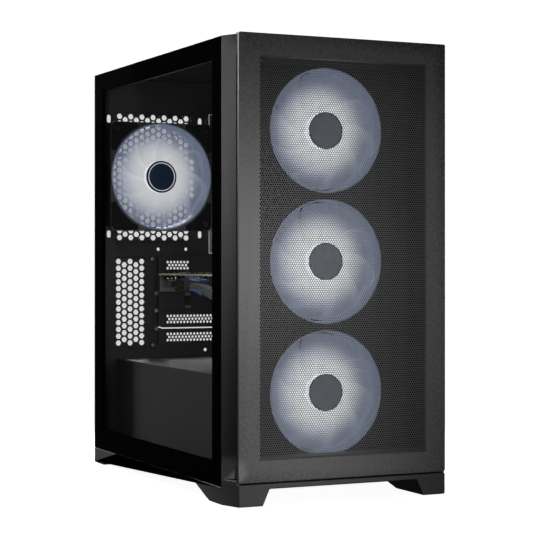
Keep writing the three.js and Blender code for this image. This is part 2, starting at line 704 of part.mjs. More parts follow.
function addSlotCovers() {
  for (const slot of [1, 3, 4, 5]) {
    const z = SLOT_TOP_Z - (slot - 1) * SLOT_PITCH;
    const cover = slotPlate(z - SLOT_COVER_WIDTH / 2, z + SLOT_COVER_WIDTH / 2);
    addPart(`slot_cover_${slot}`, cover, paintedSteel());
  }
}

// ---------------------------------------------------------------- power supply

const PSU_FAN = { x: -1, y: 114, opening: 60, tip: 57, hub: 18, z: 29.5 };
const INLET = { x0: -60, x1: -33, z0: 60, z1: 80 };
const SWITCH = { x: -16, y: 182.4, z: 70, halfWidth: 6, halfHeight: 9 };

function psuHousing() {
  const wall = 1.2;
  const outer = box(PSU.x0, PSU.x1, PSU.y0, PSU.y1, PSU.z0, PSU.z1);
  const inner = box(PSU.x0 + wall, PSU.x1 - wall, PSU.y0 + wall, PSU.y1 - wall,
    PSU.z0 + wall, PSU.z1 - wall);
  const intake = cylinderZ(PSU_FAN.x, PSU_FAN.y, PSU_FAN.opening, PSU.z0 - 1, PSU.z0 + 3, 48);
  const y0 = PSU.y1 - 3;
  const y1 = PSU.y1 + 1;
  const inletHole = box(INLET.x0 - GAP, INLET.x1 + GAP, y0, y1, INLET.z0 - GAP, INLET.z1 + GAP);
  const switchHole = box(SWITCH.x - 6.6, SWITCH.x + 6.6, y0, y1, SWITCH.z - 10.2, SWITCH.z + 10.2);
  const motorPost = cylinderZ(PSU_FAN.x, PSU_FAN.y, 9, 52.5, PSU.z1 - 0.5, 16);
  return join(cut(outer, inner, intake, inletHole, switchHole), motorPost);
}

// The mains inlet: a plastic cup with three contact pins.
function psuInlet() {
  const body = box(INLET.x0, INLET.x1, 168, BACK_Y, INLET.z0, INLET.z1);
  const cup = box(INLET.x0 + 3, INLET.x1 - 3, 171, BACK_Y + 1, INLET.z0 + 3, INLET.z1 - 3);
  const middle = (INLET.x0 + INLET.x1) / 2;
  const pins = [[-7, -1.5], [0, 2.5], [7, -1.5]].map(([dx, dz]) => {
    const x = middle + dx;
    const z = (INLET.z0 + INLET.z1) / 2 + dz;
    return box(x - 1, x + 1, 170, 182, z - 2, z + 2);
  });
  return join(cut(body, cup), ...pins);
}

// The rocker's face is a shallow V, so that one half stands out whichever way it is tipped.
function psuSwitch() {
  const tilt = 0.122;
  const h = SWITCH.halfHeight;
  const face = polygon([[-4, -h * 0.55], [2.6, -h], [1.5, 0], [2.6, h], [-4, h * 0.55]]);
  const rocker = extrudeX(face, -SWITCH.halfWidth, SWITCH.halfWidth);
  return rocker.rotateX(-tilt);
}

const MAIN_CABLE_ROUTE = [
  [24, 44, 102], [24, 34, 102], [32, 6, 103], [50, -22, 103], [66, -38, 103], [82, -46, 105],
  [92, -60, 116], [95, -74, 142], [96, -82, 180], [96, -86, 220], [96, -88, 262], [94, -88, 296],
  [84, -87, 316], [71, -86, 322], [56, -82, 322], [43, -74, 322], [37, -64, 322], [42, -55.5, 322],
  [53.4, -54, 322],
];

function addPowerSupply() {
  addPart('psu_housing', psuHousing(), paintedSteel());
  const rotor = fanRotor({ tip: PSU_FAN.tip, depth: 21, hub: PSU_FAN.hub, blades: 7, pitch: 0.5 });
  addPart('psu_fan_rotor', rotor, darkFrame()).position.set(PSU_FAN.x, PSU_FAN.y, PSU_FAN.z);
  addPart('psu_inlet', psuInlet(), blackCable());
  addPart('psu_switch', psuSwitch(), blackCable()).position.set(SWITCH.x, SWITCH.y, SWITCH.z);
  addPart('main_power_cable', tubeAlong(MAIN_CABLE_ROUTE, 5.5, 8, 46), blackCable());
}

// ---------------------------------------------------------------- drives

function driveCage() {
  const t = 1.2;
  const outer = rectangle(CAGE.y0, CAGE.y1, CAGE.z0, CAGE.z1);
  const bay = rectangle(CAGE.y0 + t, CAGE.y1 - t, CAGE.z0 + t, CAGE.z1 - t);
  const pieces = [extrudeX(withHoles(outer, [bay]), CAGE.x0, CAGE.x1)];
  // Ledges carry the sled, and a second pair leaves a free bay above it.
  for (const z of [SLED_Z - GAP - t, SLED_Z + 31]) {
    pieces.push(box(CAGE.x0, CAGE.x1, CAGE.y0 + 0.5, CAGE.y0 + 6, z, z + t));
    pieces.push(box(CAGE.x0, CAGE.x1, CAGE.y1 - 6, CAGE.y1 - 0.5, z, z + t));
  }
  return join(...pieces);
}

function driveSled() {
  const y0 = CAGE.y0 + 2;
  const y1 = CAGE.y1 - 2;
  return join(
    box(-76, 74, y0, y1, SLED_Z, SLED_Z + 2),
    box(-76, 74, y0, y0 + 2.6, SLED_Z, SLED_Z + 14),
    box(-76, 74, y1 - 2.6, y1, SLED_Z, SLED_Z + 14),
    box(74, 79, y0, y1, SLED_Z, SLED_Z + 28),
    box(78, 82, -60, -28, SLED_Z + 10, SLED_Z + 18),
  );
}

function addDrives() {
  addPart('drive_cage', driveCage(), paintedSteel());
  addPart('drive_sled', driveSled(), darkPlastic());
  addPart('hard_drive', box(-73.5, 73.5, -94.8, 6.8, SLED_Z + 2, SLED_Z + 28.1), driveMetal());
  const ssd = extrudeX(roundedRectangle(-45, 25, 205, 305, 3), TRAY_X + SHEET + GAP, TRAY_X + SHEET + 7.3);
  addPart('solid_state_drive', ssd, driveMetal());
}

// ---------------------------------------------------------------- top ports, buttons and filters

function topIoModule() {
  const low = 409;
  const high = TOP_PANEL_Z - GAP;
  const body = box(-60, 64, -150, -130, low, high);
  const necks = [
    box(-12, 3, -143.2, -136.8, high - 1, SIDE_TOP_Z),
    box(10, 25, -143.2, -136.8, high - 1, SIDE_TOP_Z),
  ];
  const tools = [
    cylinderZ(BUTTON.x, BUTTON.y, BUTTON.radius + GAP, low + 3, high + 1, 24),
    cylinderZ(RESET.x, RESET.y, RESET.radius + GAP, low + 3, high + 1, 16),
    box(-10.8, 1.8, -142.4, -137.6, high - 9, SIDE_TOP_Z + 1),
    box(11.2, 23.8, -142.4, -137.6, high - 9, SIDE_TOP_Z + 1),
    box(33, 42, -141.5, -138.5, high - 8, high + 1),
    cylinderZ(54, -140, 1.8, high - 12, high + 1, 12),
  ];
  return cut(join(body, ...necks), ...tools);
}

function addTop() {
  addPart('top_io_module', topIoModule(), darkPlastic());
  addPart('power_button', cylinderZ(BUTTON.x, BUTTON.y, BUTTON.radius, 416, BUTTON.top, 28), plainSteel());
  addPart('reset_button', cylinderZ(RESET.x, RESET.y, RESET.radius, 416, RESET.top, 16), plainSteel());
  const topFilter = extrudeZ(roundedRectangle(-88, 80, -120, 176, 4), SIDE_TOP_Z, SIDE_TOP_Z + 1.1);
  addPart('top_dust_filter', topFilter, darkPlastic());
  const psuFilter = join(
    box(-62.5, 60.5, 46, 187, 20, 21.8),
    box(-20, 18, 186, 191, 20, 23),
  );
  addPart('psu_dust_filter', psuFilter, darkPlastic());
}

addBase();
addChassis();
addFront();
addSidePanels();
addCaseFans();
addMotherboard();
addGraphicsCard();
addSlotCovers();
addPowerSupply();
addDrives();
addTop();

export default tower;
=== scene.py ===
"""Desktop computer tower: detailed surfaces, materials, light and camera around the CAD frame.

Lengths are in millimetres in this file and turn into metres when a mesh is made.
+Z is up, the front plate faces -Y and the glass panel is on the -X side.
"""

import math
import random

import bmesh
import bpy
import numpy as np
from mathutils import Matrix, Vector
from mathutils.geometry import delaunay_2d_cdt


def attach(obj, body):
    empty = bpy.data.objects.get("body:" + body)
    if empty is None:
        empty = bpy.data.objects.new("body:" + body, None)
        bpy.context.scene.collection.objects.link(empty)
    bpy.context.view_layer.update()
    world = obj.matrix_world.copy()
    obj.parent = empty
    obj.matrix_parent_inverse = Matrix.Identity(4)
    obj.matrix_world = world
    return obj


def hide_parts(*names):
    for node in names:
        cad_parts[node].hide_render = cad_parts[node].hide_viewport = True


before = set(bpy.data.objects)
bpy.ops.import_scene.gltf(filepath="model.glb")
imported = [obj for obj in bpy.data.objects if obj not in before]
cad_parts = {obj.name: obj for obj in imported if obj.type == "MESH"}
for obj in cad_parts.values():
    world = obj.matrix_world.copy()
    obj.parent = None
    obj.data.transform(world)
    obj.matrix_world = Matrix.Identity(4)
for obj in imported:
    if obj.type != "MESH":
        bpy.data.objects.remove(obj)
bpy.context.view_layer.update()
MM = 0.001
RANDOM = random.Random(7)

# -------- dimensions from the CAD frame

FRONT_Y = -194.0
REAR_INNER_Y = 185.2
REAR_OUTER_Y = 186.2
MESH_HALF_WIDTH = 87.4
MESH_BOTTOM_Z = 42.2
MESH_TOP_Z = 410.3
MESH_PITCH = 2.3
MESH_HOLE = 1.84
MESH_THICKNESS = 0.6
FAN_BORE = 57.5
FAN_HUB = 17.8
FAN_CENTRES_Z = {"upper": 347.5, "middle": 223.0, "lower": 98.5}
FRONT_FAN_Y = -155.7
REAR_FAN = (-45.15, 159.9, 317.4)
SLOT_HEIGHTS = {1: 219.0, 3: 178.36, 4: 158.04, 5: 137.72}
CARD_SLOT_Z = SLOT_HEIGHTS[1] - 20.32
THUMBSCREW_X = 104
THUMBSCREW_HEIGHTS = {"upper": 395, "lower": 60}
CARD_FAN_CENTRE = (8, 70)
PORT_ROW_Y = -140  # the row of buttons and ports on top


# -------- camera, light and floor

CAMERA_PLACE = (-704.45, -1546.2, 222.8)
CAMERA_TURN_DEG = -24.898
CAMERA_LENS = 109.3
CAMERA_SHIFT_Y = -0.01524


def make_camera():
    data = bpy.data.cameras.new("camera")
    data.lens = CAMERA_LENS
    data.sensor_width = 36.0
    data.shift_y = CAMERA_SHIFT_Y
    data.clip_start = 0.05
    data.clip_end = 200.0
    camera = bpy.data.objects.new("camera", data)
    camera.location = [value * MM for value in CAMERA_PLACE]
    camera.rotation_euler = (math.radians(90), 0, math.radians(CAMERA_TURN_DEG))
    bpy.context.scene.collection.objects.link(camera)
    bpy.context.scene.camera = camera


def place_lamp(name, data, place, aim, roll_deg=0.0):
    lamp = bpy.data.objects.new(name, data)
    lamp.location = [value * MM for value in place]
    direction = Vector(aim) - Vector(place)
    lamp.rotation_euler = direction.to_track_quat("-Z", "Y").to_euler()
    lamp.rotation_euler.rotate_axis("Z", math.radians(roll_deg))
    bpy.context.scene.collection.objects.link(lamp)


def softbox(name, place, aim, size, power, roll_deg=0.0):
    data = bpy.data.lights.new(name, "AREA")
    data.shape = "RECTANGLE"
    data.size, data.size_y = size[0] * MM, size[1] * MM
    data.energy = power
    place_lamp(name, data, place, aim, roll_deg)


def soft_spot(name, place, aim, cone_deg, power, radius=0.08):
    data = bpy.data.lights.new(name, "SPOT")
    data.spot_size = math.radians(cone_deg)
    data.spot_blend = 1.0
    data.shadow_soft_size = radius
    data.energy = power
    place_lamp(name, data, place, aim)


AMBIENT = 0.06
BACKDROP_RADIUS = 24000.0
BACKDROP_BRIGHTNESS = 1.05


def make_world():
    """An even, dim white light from all round."""
    world = bpy.data.worlds.new("studio")
    bpy.context.scene.world = world
    world.use_nodes = True
    background = world.node_tree.nodes["Background"]
    background.inputs["Color"].default_value = (1.0, 1.0, 1.0, 1.0)
    background.inputs["Strength"].default_value = AMBIENT


def make_lights():
    make_world()
    soft_spot("front_wide", (100, -1000, 230), (0, -194, 240), 36, 6.4)
    soft_spot("front_left", (20, -560, 225), (-140, -194, 218), 58, 2.9)
    soft_spot("front_base", (350, -1100, 40), (-60, -194, -25), 15, 18.5)
    soft_spot("front_corner", (-170, -700, 15), (-110.5, -183, 33), 3.4, 4.0, radius=0.003)
    soft_spot("front_right_low", (150, -1100, 60), (80, -194, 50), 20, 2.6)
    soft_spot("upper_left", (-900, -100, 500), (-112, -180, 375), 34, 9.4)
    softbox("rear_left", (-700, 1100, 900), (-60, 0, 120), (500, 500), 17.0)
    softbox("right", (1200, 500, 700), (0, 0, 220), (900, 900), 20.0)
    softbox("rear", (500, 1500, 700), (0, 0, 220), (900, 900), 20.0)
    softbox("top", (0, 0, 1500), (0, 0, 300), (900, 900), 8.0)
    softbox("glass_sheen", (-930, 2500, 705), (-115, 30, 400), (150, 230), 0.010, roll_deg=9)
    soft_spot("inside", (-40, -110, 200), (-60, 185, 215), 66, 0.5)


def make_stage(materials):
    """A pale floor and a white backdrop dome. Neither lights the object."""
    floor = bpy.data.meshes.new("floor")
    rim = [(BACKDROP_RADIUS * MM * math.cos(a), BACKDROP_RADIUS * MM * math.sin(a), -0.0002)
           for a in np.linspace(0, 2 * math.pi, 64, endpoint=False)]
    floor.from_pydata(rim, [], [tuple(range(64))])
    floor.materials.append(materials["floor"])
    floor_object = bpy.data.objects.new("floor", floor)
    dome = bpy.data.meshes.new("backdrop")
    shell = bmesh.new()
    bmesh.ops.create_icosphere(shell, subdivisions=4, radius=BACKDROP_RADIUS * MM * 1.02)
    shell.to_mesh(dome)
    shell.free()
    dome.materials.append(materials["backdrop"])
    dome_object = bpy.data.objects.new("backdrop", dome)
    dome_object.visible_diffuse = False
    dome_object.visible_glossy = False
    dome_object.visible_shadow = False
    floor_object.visible_diffuse = False
    floor_object.visible_glossy = False
    for obj in (floor_object, dome_object):
        bpy.context.scene.collection.objects.link(obj)


# -------- shapes, in millimetres


class Shape:
    """Collects vertices, faces and material numbers."""

    def __init__(self):
        self.verts, self.faces, self.numbers = [], [], []

    def add(self, part, number=0):
        verts, faces = part
        base = len(self.verts)
        self.verts.extend(tuple(v) for v in verts)
        self.faces.extend(tuple(base + i for i in face) for face in faces)
        self.numbers.extend([number] * len(faces))
        return self

    def boxes(self, number, *blocks):
        """Adds boxes with one material number, each as (x0, x1, y0, y1, z0, z1)."""
        for block in blocks:
            self.add(box(*block), number)


def moved(part, place):
    """The part with each vertex sent through place(x, y, z)."""
    verts, faces = part
    return [place(*v) for v in verts], faces


def box(x0, x1, y0, y1, z0, z1):
    verts = [(x, y, z) for z in (z0, z1) for y in (y0, y1) for x in (x0, x1)]
    faces = [(0, 2, 3, 1), (4, 5, 7, 6), (0, 1, 5, 4), (2, 6, 7, 3), (0, 4, 6, 2), (1, 3, 7, 5)]
    return verts, faces


def ring_points(a, b, radius, sides, start=0.0):
    angles = [start + 2 * math.pi * i / sides for i in range(sides)]
    return [(a + radius * math.cos(t), b + radius * math.sin(t)) for t in angles]


CORNER_STEPS = 5


def rounded_rectangle(a0, a1, b0, b1, radius):
    points = []
    corners = [(a1 - radius, b1 - radius, 0), (a0 + radius, b1 - radius, 90),
               (a0 + radius, b0 + radius, 180), (a1 - radius, b0 + radius, 270)]
    for a, b, start in corners:
        for i in range(CORNER_STEPS + 1):
            t = math.radians(start + 90 * i / CORNER_STEPS)
            points.append((a + radius * math.cos(t), b + radius * math.sin(t)))
    return points


def rectangle(a0, a1, b0, b1):
    return [(a0, b0), (a1, b0), (a1, b1), (a0, b1)]


def place_along(axis, a, b, height):
    """The point (a, b) of an outline at a height along the axis x, y or z."""
    return {"x": (height, a, b), "y": (a, height, b), "z": (a, b, height)}[axis]


def counterclockwise(loop):
    area = sum(a0 * b1 - a1 * b0 for (a0, b0), (a1, b1) in zip(loop, loop[1:] + loop[:1]))
    return loop if area > 0 else loop[::-1]


def sheet(outline, holes, axis, low, high, marks=(), lift=None):
    """A flat sheet with holes. marks are extra loops that lift may bend along."""
    loops = [counterclockwise(list(loop)) for loop in (outline, *holes, *marks)]
    points, rings = [], []
    for loop in loops:
        rings.append(list(range(len(points), len(points) + len(loop))))
        points.extend(Vector(p) for p in loop)
    flat, _, triangles, _, _, sources = delaunay_2d_cdt(points, [], rings, 1, 1e-5)
    hole_numbers = set(range(1, 1 + len(holes)))
    kept = [t for t, s in zip(triangles, sources) if 0 in s and not hole_numbers & set(s)]
    count = len(flat)
    raise_by = [lift(p.x, p.y) if lift else 0.0 for p in flat]
    verts = [place_along(axis, p.x, p.y, low + r) for p, r in zip(flat, raise_by)]
    verts += [place_along(axis, p.x, p.y, high + r) for p, r in zip(flat, raise_by)]
    faces = [tuple(t) for t in kept] + [tuple(i + count for i in reversed(t)) for t in kept]
    edges = {}
    for t in kept:
        for i, j in zip(t, (*t[1:], t[0])):
            edges[(i, j)] = edges.get((i, j), 0) + 1
    for i, j in edges:
        if (j, i) not in edges:
            faces.append((j, i, i + count, j + count))
    return verts, faces


def prism(outline, axis, low, high):
    """A solid with one flat outline."""
    count = len(outline)
    verts = [place_along(axis, a, b, low) for a, b in outline]
    verts += [place_along(axis, a, b, high) for a, b in outline]
    faces = [tuple(reversed(range(count))), tuple(range(count, 2 * count))]
    faces += [(i, (i + 1) % count, count + (i + 1) % count, count + i) for i in range(count)]
    return verts, faces


def cylinder(axis, a, b, radius, low, high, sides=24):
    return prism(ring_points(a, b, radius, sides), axis, low, high)


def lathe(profile, axis, a, b, sides=48, closed=False):
    """Turns a profile of (radius, height) about an axis. A closed profile makes a ring."""
    verts, faces = [], []
    for radius, height in profile:
        for p, q in ring_points(a, b, max(radius, 1e-4), sides):
            verts.append(place_along(axis, p, q, height))
    rows = len(profile)
    last = rows if closed else rows - 1
    for row in range(last):
        low, high = row * sides, ((row + 1) % rows) * sides
        for i in range(sides):
            j = (i + 1) % sides
            faces.append((low + i, low + j, high + j, high + i))
    if not closed:
        faces.append(tuple(reversed(range(sides))))
        faces.append(tuple(range((rows - 1) * sides, rows * sides)))
    return verts, faces


def ring(axis, a, b, inner, outer, low, high, sides=72):
    """A ring with a square section about an axis."""
    return lathe([(inner, low), (inner, high), (outer, high), (outer, low)], axis, a, b, sides,
                 closed=True)


def smooth_path(points, steps=6):
    """Catmull-Rom points along a route, in steps between each two."""
    p = [np.array(q, float) for q in points]
    p = [2 * p[0] - p[1], *p, 2 * p[-1] - p[-2]]
    path = []
    for i in range(1, len(p) - 2):
        for s in range(steps):
            t = s / steps
            path.append(0.5 * (2 * p[i] + (p[i + 1] - p[i - 1]) * t
                               + (2 * p[i - 1] - 5 * p[i] + 4 * p[i + 1] - p[i + 2]) * t * t
                               + (3 * p[i] - p[i - 1] - 3 * p[i + 1] + p[i + 2]) * t ** 3))
    path.append(p[-2])
    return path


def tube(points, radius, sides=8):
    """A round tube along points, with flat ends."""
    path = [np.array(q, float) for q in points]
    verts, faces = [], []
    up = np.array((0.0, 0.0, 1.0))
    for i, here in enumerate(path):
        along = path[min(i + 1, len(path) - 1)] - path[max(i - 1, 0)]
        along /= np.linalg.norm(along)
        across = np.cross(along, up)
        if np.linalg.norm(across) < 0.2:
            across = np.cross(along, np.array((1.0, 0.0, 0.0)))
        across /= np.linalg.norm(across)
        up = np.cross(across, along)
        for k in range(sides):
            t = 2 * math.pi * k / sides
            verts.append(tuple(here + radius * (math.cos(t) * across + math.sin(t) * up)))
    for i in range(len(path) - 1):
        for k in range(sides):
            j = (k + 1) % sides
            faces.append((i * sides + k, i * sides + j, (i + 1) * sides + j, (i + 1) * sides + k))
    faces.append(tuple(reversed(range(sides))))
    faces.append(tuple(range((len(path) - 1) * sides, len(path) * sides)))
    return verts, faces


# -------- putting shapes in the scene

MATERIALS = {}


def bevelled(obj, width, segments):
    """Applies a bevel, so that edges catch the light, and keeps flat faces flat."""
    modifier = obj.modifiers.new("edges", "BEVEL")
    modifier.width = width * MM
    modifier.segments = segments
    modifier.limit_method = "ANGLE"
    modifier.angle_limit = math.radians(30)
    modifier.harden_normals = True
    obj.data.shade_smooth()
    bpy.context.view_layer.update()
    graph = bpy.context.evaluated_depsgraph_get()
    done = bpy.data.meshes.new_from_object(obj.evaluated_get(graph))
    obj.modifiers.clear()
    obj.data = done


def declare(obj, body, slot, stands_for):
    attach(obj, body)
    if stands_for:
        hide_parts(*stands_for)


def put(name, shape, materials, slot, stands_for=(), body="chassis", bevel=0.0, segments=2,
        smooth=False, place=None):
    """Makes a piece of a shape, rides it on a body and gives it one material or a list of them."""
    if isinstance(shape, tuple):
        shape = Shape().add(shape)
    if isinstance(materials, str):
        materials = [materials]
    mesh = bpy.data.meshes.new(name)
    mesh.from_pydata([(x * MM, y * MM, z * MM) for x, y, z in shape.verts], [], shape.faces)
    for material in materials:
        mesh.materials.append(MATERIALS[material])
    mesh.polygons.foreach_set("material_index", shape.numbers)
    tidy = bmesh.new()
    tidy.from_mesh(mesh)
    bmesh.ops.recalc_face_normals(tidy, faces=tidy.faces)
    tidy.to_mesh(mesh)
    tidy.free()
    obj = bpy.data.objects.new(name, mesh)
    if place is not None:
        obj.matrix_world = place
    bpy.context.scene.collection.objects.link(obj)
    if bevel:
        bevelled(obj, bevel, segments)
    elif smooth:
        mesh.shade_smooth()
        mesh.set_sharp_from_angle(angle=math.radians(40))
    declare(obj, body, slot, stands_for)
    return obj


def detailed(node, shape, materials, slot, **settings):
    """A piece that stands for one CAD node and is named after it."""
    return put(f"{node}_detailed", shape, materials, slot, [node], **settings)


def refined(node, material, slot, body="chassis", bevel=0.5, segments=2):
    """A copy of a CAD node with rounded edges, which stands for the node."""
    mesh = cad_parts[node].data.copy()
    mesh.materials.clear()
    mesh.materials.append(MATERIALS[material])
    work = bmesh.new()
    work.from_mesh(mesh)
    bmesh.ops.remove_doubles(work, verts=work.verts, dist=2e-6)
    bmesh.ops.dissolve_limit(work, angle_limit=math.radians(1), verts=work.verts, edges=work.edges)
    bmesh.ops.recalc_face_normals(work, faces=work.faces)
    work.to_mesh(mesh)
    work.free()
    if mesh.has_custom_normals:
        mesh.attributes.remove(mesh.attributes["custom_normal"])
    obj = bpy.data.objects.new(f"{node}_detailed", mesh)
    bpy.context.scene.collection.objects.link(obj)
    bevelled(obj, bevel, segments)
    declare(obj, body, slot, [node])


# -------- materials


class Finish:
    """Builds the nodes of one material round a Principled shader."""

    def __init__(self, name):
        self.material = bpy.data.materials.new(name)
        self.material.use_nodes = True
        self.tree = self.material.node_tree
        self.tree.nodes.clear()
        self.output = self.node("ShaderNodeOutputMaterial")
        self.shader = self.node("ShaderNodeBsdfPrincipled")
        self.link(self.shader.outputs["BSDF"], self.output.inputs["Surface"])
        self.place = self.node("ShaderNodeTexCoord").outputs["Object"]
        MATERIALS[name] = self.material

    def node(self, kind, **settings):
        made = self.tree.nodes.new(kind)
        for key, value in settings.items():
            setattr(made, key, value)
        return made

    def link(self, source, target):
        self.tree.links.new(source, target)

    def constant(self, **sockets):
        for key, value in sockets.items():
            self.shader.inputs[key.replace("_", " ")].default_value = value
        return self

    def noise(self, size_mm, detail=2.0):
        """Soft noise whose blobs are about size_mm wide."""
        made = self.node("ShaderNodeTexNoise")
        made.inputs["Scale"].default_value = 1000.0 / size_mm
        made.inputs["Detail"].default_value = detail
        self.link(self.place, made.inputs["Vector"])
        return made.outputs["Fac"]

    def cells(self, size_mm, feature="F1"):
        made = self.node("ShaderNodeTexVoronoi", feature=feature)
        made.inputs["Scale"].default_value = 1000.0 / size_mm
        self.link(self.place, made.inputs["Vector"])
        return made.outputs["Distance"]

    def stretched(self, sx, sy, sz):
        """From here on, patterns are stretched along the axes."""
        mapping = self.node("ShaderNodeMapping")
        mapping.inputs["Scale"].default_value = (sx, sy, sz)
        self.link(self.place, mapping.inputs["Vector"])
        self.place = mapping.outputs["Vector"]
        return self

    def spread(self, value, low, high, from_low=0.3, from_high=0.7, smooth=False):
        made = self.node("ShaderNodeMapRange")
        if smooth:
            made.interpolation_type = "SMOOTHSTEP"
        made.inputs["From Min"].default_value = from_low
        made.inputs["From Max"].default_value = from_high
        made.inputs["To Min"].default_value = low
        made.inputs["To Max"].default_value = high
        self.link(value, made.inputs["Value"])
        return made.outputs["Result"]

    def mixed(self, factor, first, second):
        """A colour between two colours or outputs."""
        made = self.node("ShaderNodeMix", data_type="RGBA")
        for socket, value in ((made.inputs[6], first), (made.inputs[7], second)):
            if isinstance(value, bpy.types.NodeSocket):
                self.link(value, socket)
            else:
                socket.default_value = (*value, 1.0)
        self.link(factor, made.inputs[0])
        return made.outputs[2]

    def facing_down(self):
        """1 where the surface leans downwards, otherwise 0."""
        normal = self.node("ShaderNodeSeparateXYZ")
        self.link(self.node("ShaderNodeTexCoord").outputs["Normal"], normal.inputs[0])
        return self.spread(normal.outputs["Z"], 1.0, 0.0, -0.25, -0.15)

    def painted_edge_highlight(self, colour, edge_highlight, low=0.52, high=0.60):
        """Lightens convex edges: a painted highlight along them."""
        geometry = self.node("ShaderNodeNewGeometry")
        edge = self.spread(geometry.outputs["Pointiness"], 0.0, 0.55, low, high)
        return self.mixed(edge, colour, edge_highlight)

    def colour(self, output):
        self.link(output, self.shader.inputs["Base Color"])
        return self

    def glow(self, output):
        self.link(output, self.shader.inputs["Emission Color"])
        return self

    def blend(self, factor, first, second):
        """Shows a mix of two shaders: the first where factor is 0, the second where it is 1."""
        mix = self.node("ShaderNodeMixShader")
        self.link(factor, mix.inputs[0])
        self.link(first, mix.inputs[1])
        self.link(second, mix.inputs[2])
        self.link(mix.outputs[0], self.output.inputs["Surface"])

    def white_light(self):
        """A plain white emission, as bright as the backdrop."""
        light = self.node("ShaderNodeEmission")
        light.inputs["Strength"].default_value = BACKDROP_BRIGHTNESS
        return light.outputs[0]

    def rough(self, output):
        self.link(output, self.shader.inputs["Roughness"])
        return self

    def bump(self, height, strength, distance_mm=0.2):
        made = self.node("ShaderNodeBump")
        made.inputs["Strength"].default_value = strength
        made.inputs["Distance"].default_value = distance_mm * MM
        self.link(height, made.inputs["Height"])
        self.link(made.outputs["Normal"], self.shader.inputs["Normal"])
        return self

    def radius(self):
        """Distance from the piece's own z axis, in metres."""
        flat = self.node("ShaderNodeVectorMath", operation="MULTIPLY")
        flat.inputs[1].default_value = (1.0, 1.0, 0.0)
        self.link(self.place, flat.inputs[0])
        length = self.node("ShaderNodeVectorMath", operation="LENGTH")
        self.link(flat.outputs[0], length.inputs[0])
        return length.outputs["Value"]


def grey(value):
    return (value, value, value)


def textured_paint(name, dark, light, roughness, grain_mm=1.3, bump=0.25, edge_highlight=None, specular=0.4,
                   reach=0.2, painted_underside_shading=None):
    """Powder coat or moulded plastic with a fine even grain and a painted highlight on convex edges."""
    made = Finish(name).constant(Specular_IOR_Level=specular)
    grain = made.noise(grain_mm, 3.0)
    drift = made.noise(60.0, 1.0)
    speckle = made.spread(grain, 0.0, 1.0, 0.5 - reach, 0.5 + reach)
    colour = made.mixed(speckle, grey(dark), grey(light))
    colour = made.mixed(made.spread(drift, 0.0, 0.35), colour, grey((dark + light) / 2))
    if edge_highlight:
        colour = made.painted_edge_highlight(colour, grey(edge_highlight))
    # painted light and shade on faces that lean down: a painted highlight on the bezel's lower facets,
    # painted shade under the base
    if painted_underside_shading:
        colour = made.mixed(made.facing_down(), colour, grey(painted_underside_shading))
    made.colour(colour)
    made.rough(made.spread(grain, roughness - 0.06, roughness + 0.08))
    return made.bump(grain, bump, 0.15)


def metal(name, dark, light, roughness, stretch=(1, 1, 1), grain_mm=2.0, bump=0.05):
    """Bare metal with brushed or rolled streaks."""
    made = Finish(name).constant(Metallic=1.0).stretched(*stretch)
    streaks = made.noise(grain_mm, 4.0)
    made.colour(made.mixed(made.spread(streaks, 0.0, 1.0), dark, light))
    made.rough(made.spread(streaks, roughness - 0.07, roughness + 0.1))
    return made.bump(streaks, bump, 0.05)


def plain_plastic(name, dark, light, roughness, specular=0.5, size_mm=4.0):
    """Moulded plastic in a colour, with slight mottling."""
    made = Finish(name).constant(Specular_IOR_Level=specular)
    mottle = made.noise(size_mm, 3.0)
    made.colour(made.mixed(made.spread(mottle, 0.0, 1.0), dark, light))
    made.rough(made.spread(mottle, roughness - 0.05, roughness + 0.07))
    return made.bump(made.noise(0.6, 2.0), 0.08, 0.05)


def braid(name, dark, light, strand_mm=1.1):
    """A woven sleeve: small raised cells with dark gaps."""
    made = Finish(name).constant(Specular_IOR_Level=0.3)
    weave = made.cells(strand_mm)
    made.colour(made.mixed(made.spread(weave, 0.0, 1.0, 0.15, 0.6), light, dark))
    made.rough(made.spread(weave, 0.6, 0.85, 0.1, 0.6))
    return made.bump(weave, 0.5, 0.3)


def see_through(made, solidity, tint):
    """Mixes the shader with a Transparent one. solidity is an output from 0 to 1."""
    clear = made.node("ShaderNodeBsdfTransparent")
    clear.inputs["Color"].default_value = (*tint, 1.0)
    made.blend(solidity, clear.outputs[0], made.shader.outputs[0])


def window_glass():
    """Clear, with faint smudges, and a mirror only at a grazing angle."""
    made = Finish("glass_window")
    made.constant(Base_Color=(0.004, 0.004, 0.005, 1.0), Specular_IOR_Level=0.5)
    smudge = made.noise(35.0, 4.0)
    made.rough(made.spread(smudge, 0.015, 0.05))
    facing = made.node("ShaderNodeLayerWeight")
    facing.inputs["Blend"].default_value = 0.12
    solidity = made.spread(facing.outputs["Fresnel"], 0.02, 0.30, 0.0, 1.0)
    see_through(made, solidity, (0.955, 0.955, 0.96))


def printed_glass():
    """Glass with black print behind it."""
    made = Finish("glass_print")
    made.constant(IOR=1.04, Specular_IOR_Level=0.5)
    speck = made.noise(2.0, 2.0)
    made.colour(made.mixed(made.spread(speck, 0.0, 1.0), grey(0.0006), grey(0.0012)))
    made.rough(made.spread(made.noise(40.0, 3.0), 0.02, 0.05))


HALO_RADIUS = 0.024  # from here outwards the fan light fades


def lit_blades():
    """Milky blades, lit from the hub: white near it, pale blue and clearer towards the tips."""
    made = Finish("blade_light").constant(Roughness=0.35, Specular_IOR_Level=0.3, Emission_Strength=0.77)
    r = made.radius()
    outward = made.spread(r, 0.0, 1.0, HALO_RADIUS, 0.054, smooth=True)
    streak = made.noise(7.0, 2.0)
    tint = made.mixed(outward, (0.96, 0.97, 1.0), (0.27, 0.325, 0.46))
    tint = made.mixed(made.spread(streak, 0.0, 0.16), tint, (0.60, 0.66, 0.80))
    made.glow(tint).colour(made.mixed(outward, grey(0.25), (0.10, 0.11, 0.14)))
    see_through(made, made.spread(r, 0.82, 0.46, HALO_RADIUS - 0.004, 0.050, smooth=True), grey(1.0))


